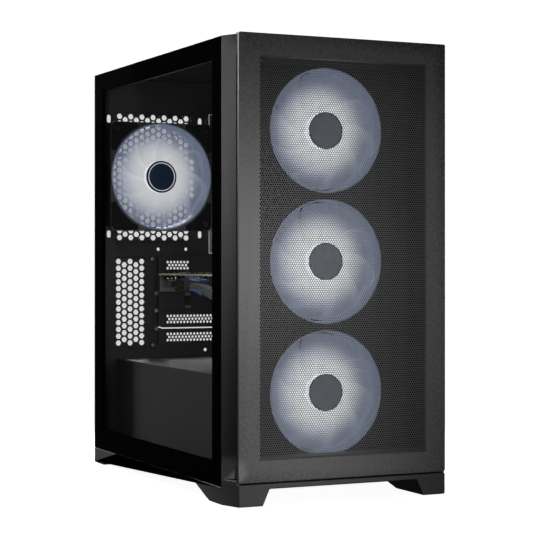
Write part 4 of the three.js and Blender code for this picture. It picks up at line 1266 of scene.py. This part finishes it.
def rail_edge():
    """The folded bottom edge of the upper rail, just behind the glass, made to glow faintly as a painted
    highlight.
    """
    return box(-110.25, -109.65, -154, 163, 410.35, 411.3)


def rail_screw(y, z):
    """A small screw head on the chassis's upper rail, facing the glass."""
    shape = Shape()
    shape.add(lathe([(1.2, -110.4), (2.0, -110.1), (2.2, -109.6)], "x", y, z, 18))
    return shape


# -------- motherboard


BOARD_X = 67.0  # the face of the motherboard that looks at the glass
BOARD_AREA = (-56, 180, 154, 392)
CLEAR = [(34, 126, 291, 383), (-42, 2, 158, 198), (38, 131, 162, 174), (38, 131, 203, 214),
         (-1, 30, 260, 396), (-60, -48, 294, 350), (148, 186, 236, 390), (136, 150, 280, 390),
         (50, 130, 384, 394)]


def on_board(top, bottom, y0, y1, z0, z1):
    """A box that stands on the board, from a bottom height to a top height above it."""
    return box(BOARD_X - top, BOARD_X - bottom, y0, y1, z0, z1)


def scattered(count, size, height):
    """Small parts spread over the board, clear of the larger ones, standing towards -X."""
    shape = Shape()
    y0, y1, z0, z1 = BOARD_AREA
    for _ in range(count):
        w = RANDOM.uniform(*size)
        h = RANDOM.uniform(*size)
        y, z = RANDOM.uniform(y0, y1 - w), RANDOM.uniform(z0, z1 - h)
        if any(a0 - w < y < a1 and b0 - h < z < b1 for a0, a1, b0, b1 in CLEAR):
            continue
        shape.add(box(BOARD_X - height, BOARD_X, y, y + w, z, z + h))
    return shape


def make_board():
    shape = Shape()
    holes = [ring_points(y, z, 2.0, 16) for y in (-52, 14, 170) for z in (159, 260, 388)]
    shape.add(sheet(rectangle(-60, 184, 151, 395), holes, "x", BOARD_X, BOARD_X + 1.6))
    for y in (-52, 14, 170):
        for z in (159, 260, 388):
            shape.add(sheet(ring_points(y, z, 4.0, 24), [ring_points(y, z, 2.0, 16)], "x",
                            BOARD_X - 0.05, BOARD_X), 1)
    detailed("motherboard", shape, ["board_mask", "solder"], "circuit_board")


def make_board_sockets():
    sockets = Shape()
    for z in (208.68, 168.04):
        sockets.add(sheet(rectangle(40, 129, z - 3.5, z + 3.5), [rectangle(42, 127, z - 0.9, z + 0.9)],
                          "x", BOARD_X - 11, BOARD_X - 1))
        sockets.boxes(0, (BOARD_X - 2, BOARD_X, 40, 129, z - 3.5, z + 3.5),
                      (BOARD_X - 9, BOARD_X, 34.5, 40, z - 4.4, z + 4.4))
    for y in (4, 14, 24):
        sockets.add(on_board(6, 0, y - 3, y + 3, 262, 394))
        for z in (259.5, 394.2):
            sockets.add(on_board(9, 0, y - 2.6, y + 2.6, z - 2.4 if z < 300 else z - 4.6, z), 1)
    put("board_sockets", sockets, ["connector_black", "clip_pale"], "port_plastic", bevel=0.3)


def make_board_power_socket():
    connector = Shape()
    wall = sheet(rectangle(-58, -50, 296, 348), [rectangle(-56.8, -51.2, 297.2, 346.8)], "x",
                 BOARD_X - 13, BOARD_X - 3)
    connector.add(wall)
    connector.add(on_board(3, 0, -58, -50, 296, 348))
    for i in range(12):
        for y in (-55.6, -52.4):
            z = 299.5 + i * 4.12
            connector.add(on_board(9, 3, y - 0.5, y + 0.5, z - 0.5, z + 0.5), 1)
    put("board_power_socket", connector, ["connector_black", "gold_contact"], "port_plastic")


def make_processor_socket():
    socket = Shape()
    socket.add(on_board(2.2, 0, 56, 104, 313, 361))
    socket.add(on_board(3.7, 2.2, 60, 100, 317, 357), 1)
    put("processor_socket", socket, ["connector_black", "zinc_steel"], "port_plastic", bevel=0.4)


def make_chokes():
    chokes = Shape()
    for i in range(7):
        z = 285 + i * 14.2
        chokes.add(on_board(5, 0, 129, 137, z, z + 9.6))
    for i in range(4):
        y = 52 + i * 17
        chokes.add(on_board(5, 0, y, y + 9.6, 384.6, 393))
    put("board_chokes", chokes, "chip", "circuit_board", bevel=0.6)


def make_capacitors():
    cans = Shape()
    for y, z in ((36, 250), (36, 240), (44, 250), (44, 240), (-20, 232), (-30, 232), (120, 240),
                 (128, 240), (-40, 370), (-40, 380), (140, 226), (140, 190), (-8, 215)):
        top = BOARD_X - 7.8
        cans.add(lathe([(3.1, BOARD_X), (3.1, top + 0.4), (2.8, top), (0.3, top)], "x", y, z, 20), 1)
        cans.add(lathe([(3.3, BOARD_X), (3.3, BOARD_X - 1.2), (0.3, BOARD_X - 1.2)], "x", y, z, 20))
    put("board_capacitors", cans, ["chip", "aluminium"], "circuit_board", smooth=True)


def make_small_board_parts():
    put("board_chips", scattered(70, (4.0, 9.0), 1.1), "chip", "circuit_board",
        bevel=0.2)
    put("board_small_parts", scattered(420, (0.9, 1.9), 0.8), "ceramic",
        "circuit_board")
    put("board_joints", scattered(380, (0.6, 1.3), 0.4), "solder", "circuit_board")


def make_board_heatsink():
    heat_spreader = Shape()
    heat_spreader.add(on_board(22, 1.5, 139, 148.6, 283, 388))
    for i in range(8):
        heat_spreader.add(on_board(25, 21, 139, 148.6, 285 + i * 13, 291 + i * 13))
    put("board_heatsink_rear", heat_spreader, "black_metal", "aluminium_fins", bevel=0.8)


def make_board_headers():
    headers = Shape()
    for y, count in ((-50, 9), (-18, 5), (8, 5), (70, 9), (96, 9)):
        headers.add(on_board(2.5, 0, y, y + count * 2.54, 153.5, 158.6))
        for i in range(count):
            for z in (154.8, 157.3):
                c = y + 1.27 + i * 2.54
                headers.add(on_board(8, 2.4, c - 0.32, c + 0.32, z - 0.32, z + 0.32), 1)
    put("board_headers", headers, ["connector_black", "gold_contact"], "port_plastic")


def make_memory():
    for name, y in (("memory_module_inner", 24), ("memory_module_outer", 4)):
        x1 = BOARD_X - 6.3
        shape = Shape()
        shape.add(box(x1 - 30, x1, y - 0.6, y + 0.6, 265, 391), 1)
        for side in (-1, 1):
            outline = [(x1 - 2, 266), (x1 - 2, 390), (x1 - 26, 390), (x1 - 34, 384), (x1 - 34, 345),
                       (x1 - 30, 341), (x1 - 30, 315), (x1 - 34, 311), (x1 - 34, 272), (x1 - 26, 266)]
            low, high = sorted((y + side * 0.7, y + side * 3.3))
            shape.add(sheet(outline, [rectangle(x1 - 24, x1 - 8, 284, 286), rectangle(x1 - 24, x1 - 8,
                                                                                    370, 372)],
                            "y", low, high))
        for i in range(30):
            z = 268 + i * 4.1
            shape.add(box(x1 - 1.6, x1 - 0.05, y - 0.72, y + 0.72, z, z + 2.6), 2)
        detailed(name, shape, ["black_metal", "board_mask", "gold_contact"], "black_plastic")


def make_cooler():
    fins = Shape()
    fins.add(box(57.2, 63.3, 50, 110, 307, 367))
    for i in range(29):
        y = 36.4 + i * 3.1
        fins.add(box(32.4, 58.0, y, y + 0.9, 293.2, 380.8))
    for z in (318, 330, 344, 356):
        fins.add(cylinder("y", 44, z, 3, 36.0, 124.0, 16), 1)
    detailed("cpu_heatsink", fins, ["aluminium", "gold_contact"], "aluminium_fins")
    refined("chipset_heatsink", "black_metal", "aluminium_fins", bevel=0.4)


REAR_PORTS = (
    (242.5, "usb"), (249.2, "usb"), (256.0, "usb"), (267.5, "video"), (276.5, "wide"), (286.5, "usb"),
    (294.0, "usb"), (305.0, "usb"), (312.0, "usb"), (323.5, "lan"), (346.0, "round"), (361.0, "round"),
    (376.0, "round"),
)


def make_rear_ports():
    """The port stack behind the shield: shells, dark openings and coloured tongues."""
    shells, shield = Shape(), Shape()
    blocks = ((238, 262, 28), (263, 300, 31), (301, 338, 27), (339, 388, 30))
    for z0, z1, x0 in blocks:
        shells.add(box(x0, 66.7, 154, 184.2, z0, z1))
    shells.add(box(56, 66.7, 150, 184, 238, 388), 1)
    openings = []
    for z, kind in REAR_PORTS:
        half_height = {"usb": 2.6, "video": 2.7, "wide": 3.0, "lan": 6.6, "round": 3.6}[kind]
        half_width = {"usb": 6.6, "video": 7.6, "wide": 8.4, "lan": 7.8, "round": 3.6}[kind]
        if kind == "round":
            for x in (36, 52):
                openings.append(ring_points(x, z, 3.6, 20))
                shells.add(ring("y", x, z, 1.7, 3.4, 180.0, 184.5, 20), 2)
            continue
        openings.append(rectangle(45 - half_width, 45 + half_width, z - half_height, z + half_height))
        tongue = 3 if kind in ("usb", "lan") else 4
        shells.add(box(45 - half_width + 1.4, 45 + half_width - 1.4, 179.5, 184.4, z - 0.9, z + 0.9),
                   tongue)
    shield.add(sheet(rectangle(22.3, 66.2, 232.9, 391.0), openings, "y", 184.6, 185.0))
    detailed("rear_io_block", shells,
             ["zinc_steel", "connector_black", "port_plastic", "port_blue", "connector_black"],
             "bare_steel", bevel=0.15)
    put("rear_io_shield", shield, "zinc_steel", "bare_steel")


# -------- graphics card and its cables

CARD_Z = 208.0


def make_card_board():
    board = Shape()
    board.add(box(-39.9, 55.7, -16, 183.2, CARD_Z + 0.15, CARD_Z + 1.45))
    board.boxes(1, (-40, -39.6, -16, 183.2, CARD_Z, CARD_Z + 1.6),
                (-39.8, 55.6, -16.1, -15.7, CARD_Z, CARD_Z + 1.6))
    detailed("gpu_board", board, ["board_mask", "board_edge_painted_glow"], "circuit_board")


def make_card_parts():
    parts = Shape()
    for i in range(34):
        y = 172 - i * 5.2 + RANDOM.uniform(-0.8, 0.8)
        wide = RANDOM.uniform(0.8, 2.6)
        parts.add(box(-39.2, -37.4, y, y + wide, CARD_Z - 1.1, CARD_Z), RANDOM.choice((0, 0, 1, 2)))
        if i % 3 == 0:
            parts.add(box(-39.4, -37.2, y, y + wide, CARD_Z + 1.45, CARD_Z + 2.3))
    for i in range(9):
        y = 160 - i * 15.5
        parts.add(box(-38.6, -35.4, y, y + 4.6, CARD_Z - 3.4, CARD_Z), 2)
    put("gpu_small_parts", parts, ["ceramic", "solder", "chip"], "circuit_board")


def make_card_backplate():
    back = Shape()
    back.add(sheet(rectangle(-37, 50, -12, 150), [rectangle(-12, 28, 52, 92)], "z",
                   CARD_Z + 1.9, CARD_Z + 3.0))
    for x, y in ((-14, 50), (30, 50), (-14, 94), (30, 94)):
        back.add(lathe([(2.4, CARD_Z + 1.5), (2.4, CARD_Z + 2.6), (1.8, CARD_Z + 3.2)], "z", x, y, 18), 1)
    put("gpu_backplate", back, ["black_metal", "screw_steel"], "aluminium_fins")


def make_card_cooler():
    cooler = Shape()
    well = ring_points(*CARD_FAN_CENTRE, 36, 64)
    outline = [(-35, -12), (46, -12), (52, -4), (52, 144), (46, 152), (-29, 152), (-35, 146),
               (-35, 118), (-32, 112), (-32, 30), (-35, 24)]
    cooler.add(sheet(outline, [well], "z", 190.6, 194.4))
    cooler.add(sheet([(a * 0.97 + 0.25, b * 0.985 + 1) for a, b in outline], [well], "z", 194.4,
                     198.0))
    for i in range(46):
        y = -9 + i * 3.45
        if 33 < y < 107:
            reach = math.sqrt(max(0.0, 36.5 ** 2 - (y + 0.4 - 70) ** 2))
            for x0, x1 in ((-33.5, 8 - reach), (8 + reach, 50)):
                if x1 - x0 > 1:
                    cooler.add(box(x0, x1, y, y + 0.8, 198.2, 207.5), 1)
        else:
            cooler.add(box(-33.5, 50, y, y + 0.8, 198.2, 207.5), 1)
    cooler.add(lathe([(35.6, 203.4), (35.6, 207.4)], "z", *CARD_FAN_CENTRE, 48), 1)
    for x in (-20, 38):
        cooler.add(cylinder("y", x, 202.6, 2.6, -13.4, 140, 16), 2)
    detailed("gpu_cooler", cooler, ["black_metal", "aluminium", "gold_contact"], "black_plastic")


def make_card_bracket():
    bracket = Shape()
    z = CARD_SLOT_Z
    sockets = [rounded_rectangle(x - 8, x + 8, z - 3.2, z + 3.2, 1.2) for x in (-22, 6, 34)]
    sockets += [rectangle(x, x + 2.4, z + 5.2, z + 7.4) for x in range(-30, 46, 5)]
    bracket.add(sheet(rectangle(-41, 62, z - 9.2, CARD_Z - 0.3), sockets, "y", 183.6, 184.9))
    bracket.boxes(0, (-42.6, -41, 172.5, 184.9, z - 9.0, CARD_Z - 0.4),
                  (-42.4, 58, 176.0, 184.2, z - 9.2, z - 8.2))
    for x in (-22, 6, 34):
        bracket.add(sheet(rounded_rectangle(x - 7.9, x + 7.9, z - 3.1, z + 3.1, 1.1),
                          [rounded_rectangle(x - 7.2, x + 7.2, z - 2.4, z + 2.4, 0.8)], "y", 172, 184.8))
        bracket.add(box(x - 5.8, x + 5.8, 173, 182, z - 0.8, z + 0.6), 1)
        bracket.add(box(x - 7.4, x + 7.4, 170.4, 172.2, z - 2.8, z + 2.8))
    detailed("gpu_bracket", bracket, ["zinc_steel", "port_plastic"], "bare_steel")


GPU_CABLE_ROUTE = (
    (-44, 75.6, 197.5), (-45, 58, 196.5), (-46.5, 34, 194), (-48, 8, 190), (-51, -22, 184),
    (-55.5, -52, 172), (-59.5, -78, 152), (-61, -94, 130), (-61, -99, 112), (-58, -88, 103),
    (-52, -60, 102), (-46, -20, 102), (-42, 12, 102), (-42, 33, 102), (-42, 44, 102),
)

MAIN_CABLE_ROUTE = (
    (24, 44, 102), (24, 34, 102), (32, 6, 103), (50, -22, 103), (66, -38, 103), (82, -46, 105),
    (92, -60, 116), (95, -74, 142), (96, -82, 180), (96, -86, 220), (96, -88, 262), (94, -88, 296),
    (84, -87, 316), (71, -86, 322), (56, -82, 322), (43, -74, 322), (37, -64, 322),
    (42, -55.5, 322), (53.4, -54, 322),
)


def strands(route, offsets, radius, twist):
    """Parallel strands along a route. Each offset is (across, up) from the middle."""
    path = smooth_path(route)
    shape = Shape()
    for number, (across, up) in enumerate(offsets):
        line = []
        for i, here in enumerate(path):
            along = path[min(i + 1, len(path) - 1)] - path[max(i - 1, 0)]
            along = along / np.linalg.norm(along)
            side = np.cross(along, (0.0, 0.0, 1.0))
            if np.linalg.norm(side) < 0.15:
                side = np.cross(along, (0.0, 1.0, 0.0))
            side /= np.linalg.norm(side)
            rise = np.cross(side, along)
            turn = twist * math.sin(i * 0.21 + number)
            share = min(1.0, 0.55 + 0.45 * min(i, len(path) - 1 - i) / 14)
            line.append(here + share * ((across + turn) * side + up * rise))
        shape.add(tube(line, radius))
    return shape


def make_card_plug():
    plug = Shape()
    plug.boxes(0, (-51.6, -36.5, 76.2, 90.5, 191.8, 204.2), (-50.8, -37.3, 90.5, 96.8, 192.6, 203.4))
    for i in range(3):
        for j in range(2):
            y = 78.4 + i * 4.2
            plug.add(box(-52.0, -51.4, y, y + 3.2, 193.4 + j * 5.2, 197.4 + j * 5.2), 1)
    detailed("gpu_power_plug", plug, ["connector_grey", "chip"], "port_plastic", bevel=0.35)


def make_cables():
    grid = [(a, b) for b in (-3.3, 0.0, 3.3) for a in (-3.4, 0.0, 3.4)]
    detailed("gpu_power_cable", strands(GPU_CABLE_ROUTE, grid, 1.75, twist=0.35), "grey_braid",
             "grey_sleeve", smooth=True)
    ring = [(3.4 * math.cos(t), 3.4 * math.sin(t)) for t in np.linspace(0, 2 * math.pi, 7)[:-1]]
    detailed("main_power_cable", strands(MAIN_CABLE_ROUTE, [*ring, (0.0, 0.0)], 1.75, twist=0.2),
             "black_braid", "black_cable", smooth=True)


def make_main_plug():
    plug = Shape()
    plug.boxes(0, (50.4, 62, -57.2, -50.8, 297, 347), (53, 58, -59.4, -57.2, 316, 328))
    put("main_power_plug", plug, "connector_black", "port_plastic", bevel=0.4)


def make_card_fan_wires():
    loops = Shape()
    for lift, reach in ((0.0, 0.0), (2.3, 4.0), (-2.2, -3.0)):
        route = [(-38 - lift, 44 - reach, 201 + lift), (-43, 62, 203.5 + lift * 0.7),
                 (-44.5, 84 + reach, 204.6 + lift * 0.5), (-43.6, 100 + reach, 201.8 + lift * 0.4),
                 (-43.4, 103 + reach, 198.2), (-44.4, 96 + reach, 195.2 - lift * 0.3),
                 (-46.5, 80, 193.4 - lift * 0.3), (-49, 58, 192.6 - lift * 0.2), (-51, 30, 190 + lift)]
        loops.add(tube(smooth_path(route), 0.95))
    thin = [(-45.6, 60, 203.2), (-46, 78, 203.4), (-46, 88, 201.2), (-46, 90, 198.6), (-46.6, 84, 196.8),
            (-48, 70, 197.2)]
    loops.add(tube(smooth_path(thin), 0.55), 1)
    loops.add(tube(smooth_path([(x + 0.6, y - 5, z - 1.0) for x, y, z in thin]), 0.5), 2)
    put("gpu_fan_wires", loops, ["blue_wire", "white_wire", "orange_wire"], "black_cable", smooth=True)


# -------- power supply and drives


SUPPLY = (-76, 74, 44.9, 184.9, 27, 113)  # x0, x1, y0, y1, z0, z1 of the power supply
SUPPLY_WALL = 1.2
SUPPLY_FAN_CENTRE = (-1, 114)


def make_supply_housing():
    x0, x1, y0, y1, z0, z1 = SUPPLY
    shell = Shape()
    shell.boxes(0, (x0, x1, y0, y0 + SUPPLY_WALL, z0, z1), (x0, x0 + SUPPLY_WALL, y0, y1, z0, z1),
                (x1 - SUPPLY_WALL, x1, y0, y1, z0, z1), (x0, x1, y0, y1, z1 - SUPPLY_WALL, z1))
    opening = ring_points(*SUPPLY_FAN_CENTRE, 60, 72)
    shell.add(sheet(rectangle(x0, x1, y0, y1), [opening], "z", z0, z0 + SUPPLY_WALL))
    shell.add(cylinder("z", *SUPPLY_FAN_CENTRE, 9, 52.5, z1 - 0.5, 20))
    detailed("psu_housing", shell, "chassis_paint", "painted_steel", bevel=0.25)


def make_supply_grille():
    holes = [rectangle(-60.3, -32.7, 59.7, 80.3), rectangle(-22.6, -9.4, 59.8, 80.2)]
    for column in range(-8, 9):
        for row in range(-6, 7):
            x = 10 + column * 7.4 * 0.866
            z = 70 + row * 7.4 + (3.7 if column % 2 else 0)
            near_parts = -64 < x < -5 and 54 < z < 86
            if not near_parts and -70 < x < 69 and 32 < z < 108:
                holes.append(ring_points(x, z, 3.35, 6))
    for x in range(-68, -42, 7):
        for z in (37, 44.5, 95.5, 103):
            holes.append(ring_points(x, z, 3.3, 6))
    x0, x1, _, y1, z0, z1 = SUPPLY
    outline = rectangle(x0 + SUPPLY_WALL, x1 - SUPPLY_WALL, z0 + SUPPLY_WALL, z1 - SUPPLY_WALL)
    put("psu_rear_grille", sheet(outline, holes, "y", y1 - SUPPLY_WALL, y1), "chassis_paint",
        "painted_steel")


def make_supply_fan_guard():
    guard = Shape()
    for radius in (12, 22, 32, 42, 52, 58.5):
        guard.add(lathe([(radius - 0.7, 27.3), (radius + 0.7, 27.3), (radius + 0.7, 28.6),
                         (radius - 0.7, 28.6)], "z", *SUPPLY_FAN_CENTRE, 60, closed=True))
    for i in range(4):
        t = math.pi / 4 + i * math.pi / 2
        a = (-1 + 6 * math.cos(t), 114 + 6 * math.sin(t), 27.9)
        b = (-1 + 61 * math.cos(t), 114 + 61 * math.sin(t), 27.9)
        guard.add(tube([a, b], 0.7))
    put("psu_fan_guard", guard, "screw_steel", "bare_steel", smooth=True)


def make_supply_inlet():
    inlet = Shape()
    inlet.add(sheet(rounded_rectangle(-60, -33, 60, 80, 2.5), [rounded_rectangle(-57, -36, 63, 77, 2)],
                    "y", 171, 186.1))
    inlet.add(box(-59, -34, 168, 171.2, 61, 79))
    for dx, dz in ((-7, -1.5), (0, 2.5), (7, -1.5)):
        x, z = -46.5 + dx, 70 + dz
        inlet.add(box(x - 0.9, x + 0.9, 171, 182, z - 2, z + 2), 1)
    detailed("psu_inlet", inlet, ["connector_black", "solder"], "black_cable", bevel=0.25)
    refined("psu_switch", "port_plastic", "black_cable", body="psu_switch", bevel=0.5, segments=3)


def make_supply_outlets():
    outlets = Shape()
    for row in range(2):
        for i in range(5):
            x = -64 + i * 27
            z = 92 + row * 12 - 4
            outlets.add(sheet(rectangle(x, x + 19, z, z + 9), [rectangle(x + 1, x + 18, z + 1, z + 8)],
                              "y", 43.4, 44.9))
    put("psu_outlets", outlets, "connector_black", "port_plastic", bevel=0.25)


def make_drive_sled():
    sled = Shape()
    sled.add(sheet(rectangle(-76, 74, -99, 11), [rounded_rectangle(-60, -20, -80, -8, 8),
                                                rounded_rectangle(0, 56, -80, -8, 8)], "z", 33, 35))
    sled.boxes(0, (-76, 74, -99, -96.4, 33, 47), (-76, 74, 8.4, 11, 33, 47))
    slots = [rounded_rectangle(y, y + 8, 38, 56, 3) for y in range(-92, 0, 14)]
    sled.add(sheet(rectangle(-99, 11, 33, 61), slots, "x", 74, 76.4))
    sled.add(sheet(rounded_rectangle(-60, -28, 43, 51, 2), [], "x", 76.2, 81.9))
    detailed("drive_sled", sled, "base_plastic", "black_plastic", body="drive_sled", bevel=0.35)


def make_hard_drive():
    disk = Shape()
    disk.add(box(-73.5, 73.5, -94.8, 6.8, 35.1, 57.0))
    disk.add(sheet(rounded_rectangle(-71.5, 71.5, -92.8, 4.8, 6), [], "z", 57.0, 60.6))
    disk.add(lathe([(42, 60.5), (41, 61.0), (14, 61.0)], "z", -12, -44, 60))
    for x, y in ((-66, -88), (66, -88), (-66, 0), (66, 0), (0, -89), (0, 1)):
        disk.add(lathe([(2.6, 60.4), (2.6, 61.0), (1.2, 61.05)], "z", x, y, 16), 1)
    detailed("hard_drive", disk, ["drive_metal", "screw_steel"], "drive_casing", body="drive_sled",
             bevel=0.5)


def make_solid_state_drive():
    slim = Shape()
    slim.add(prism(rounded_rectangle(-45, 25, 205, 305, 3), "x", 76.4, 82.9))
    slim.add(sheet(rounded_rectangle(-40, 20, 210, 300, 2), [], "x", 82.8, 83.3), 1)
    detailed("solid_state_drive", slim, ["drive_metal", "chip"], "drive_casing", bevel=0.5)


# -------- top ports, buttons and filters


def make_top_module():
    refined("top_io_module", "port_plastic", "black_plastic", bevel=0.15)


BUTTONS = (
    ("power_button", -46, 48,
     [(7, 416), (7, 429.6), (6.3, 430.3), (5.2, 430.35), (4.9, 430.0), (0.3, 429.9)]),
    ("reset_button", -26, 28, [(2.6, 416), (2.6, 429.7), (2.2, 430.05), (0.3, 430.05)]),
)


def make_buttons():
    for node, x, sides, profile in BUTTONS:
        detailed(node, lathe(profile, "z", x, PORT_ROW_Y, sides), "button_metal", "bare_steel", body=node,
                 smooth=True)


def make_top_ports():
    ports = Shape()
    for x0, x1 in ((-10.8, 1.8), (11.2, 23.8)):
        ports.add(sheet(rectangle(x0 + 0.05, x1 - 0.05, -142.35, -137.65),
                        [rectangle(x0 + 0.45, x1 - 0.45, -141.95, -138.05)], "z", 420, 429.3))
        ports.add(box(x0 + 1.2, x1 - 1.2, -141.7, -140.2, 420, 428.6), 1)
    ports.add(sheet(rounded_rectangle(33.1, 41.9, -141.4, -138.6, 1.35),
                    [rounded_rectangle(33.5, 41.5, -141.0, -139.0, 0.95)], "z", 421, 428.1))
    ports.add(box(34.6, 40.4, -140.4, -139.6, 421, 427.4), 2)
    ports.add(lathe([(1.75, 420), (1.75, 428.6), (3.1, 428.6), (3.1, 428.2), (2.0, 428.2), (2.0, 420)],
                    "z", 54, PORT_ROW_Y, 24, closed=True))
    put("top_port_shells", ports, ["solder", "port_blue", "port_plastic"], "bare_steel")


def filter_net(name, node, middle, columns, rows, pitch, rise, hole, low, high):
    """A flat net about a middle point (x, y). Returns its outline, which the rim goes round."""
    x_low, y_low = middle[0] - columns * pitch / 2, middle[1] - rows * rise / 2
    net = brick_cells(x_low, y_low, columns, rows, pitch, rise, hole, low, high)
    put_cells(name, net, "filter_net", "black_plastic", [node], node, swap=(0, 2, 1))
    return rectangle(x_low, x_low + columns * pitch, y_low, y_low + rows * rise)


def make_top_filter():
    net = filter_net("top_filter_net", "top_dust_filter", (-4, 28), 46, 96, 3.5, 2.95, 2.5, 429.65, 430.15)
    rim = sheet(rounded_rectangle(-88, 80, -120, 176, 4), [net], "z", 429.45, 430.5)
    put("top_filter_rim", rim, "rubber", "black_plastic", ["top_dust_filter"], body="top_dust_filter",
        bevel=0.25)


def make_supply_filter():
    net = filter_net("psu_filter_net", "psu_dust_filter", SUPPLY_FAN_CENTRE, 32, 42, 3.4, 2.94, 2.4,
                     20.5, 21.1)
    rim = Shape()
    rim.add(sheet(rounded_rectangle(-62.5, 60.5, 46, 187, 2), [net], "z", 20, 21.8))
    rim.add(prism(rounded_rectangle(-20, 18, 186, 191, 1.5), "z", 20, 23))
    put("psu_filter_rim", rim, "base_plastic", "black_plastic", ["psu_dust_filter"],
        body="psu_dust_filter", bevel=0.3)


BUILD_ORDER = (
    make_base, make_front, make_side_panels, make_fans, make_chassis, make_board, make_board_sockets,
    make_board_power_socket, make_processor_socket, make_chokes, make_capacitors, make_small_board_parts,
    make_board_heatsink, make_board_headers, make_memory, make_cooler, make_rear_ports, make_card_board,
    make_card_parts, make_card_backplate, make_card_cooler, make_card_bracket, make_card_plug, make_cables,
    make_main_plug, make_card_fan_wires, make_supply_housing, make_supply_grille, make_supply_fan_guard,
    make_supply_inlet, make_supply_outlets, make_drive_sled, make_hard_drive, make_solid_state_drive,
    make_top_module, make_buttons, make_top_ports, make_top_filter, make_supply_filter,
)

for make_part in BUILD_ORDER:
    make_part()

bpy.context.scene.view_settings.view_transform = "Standard"
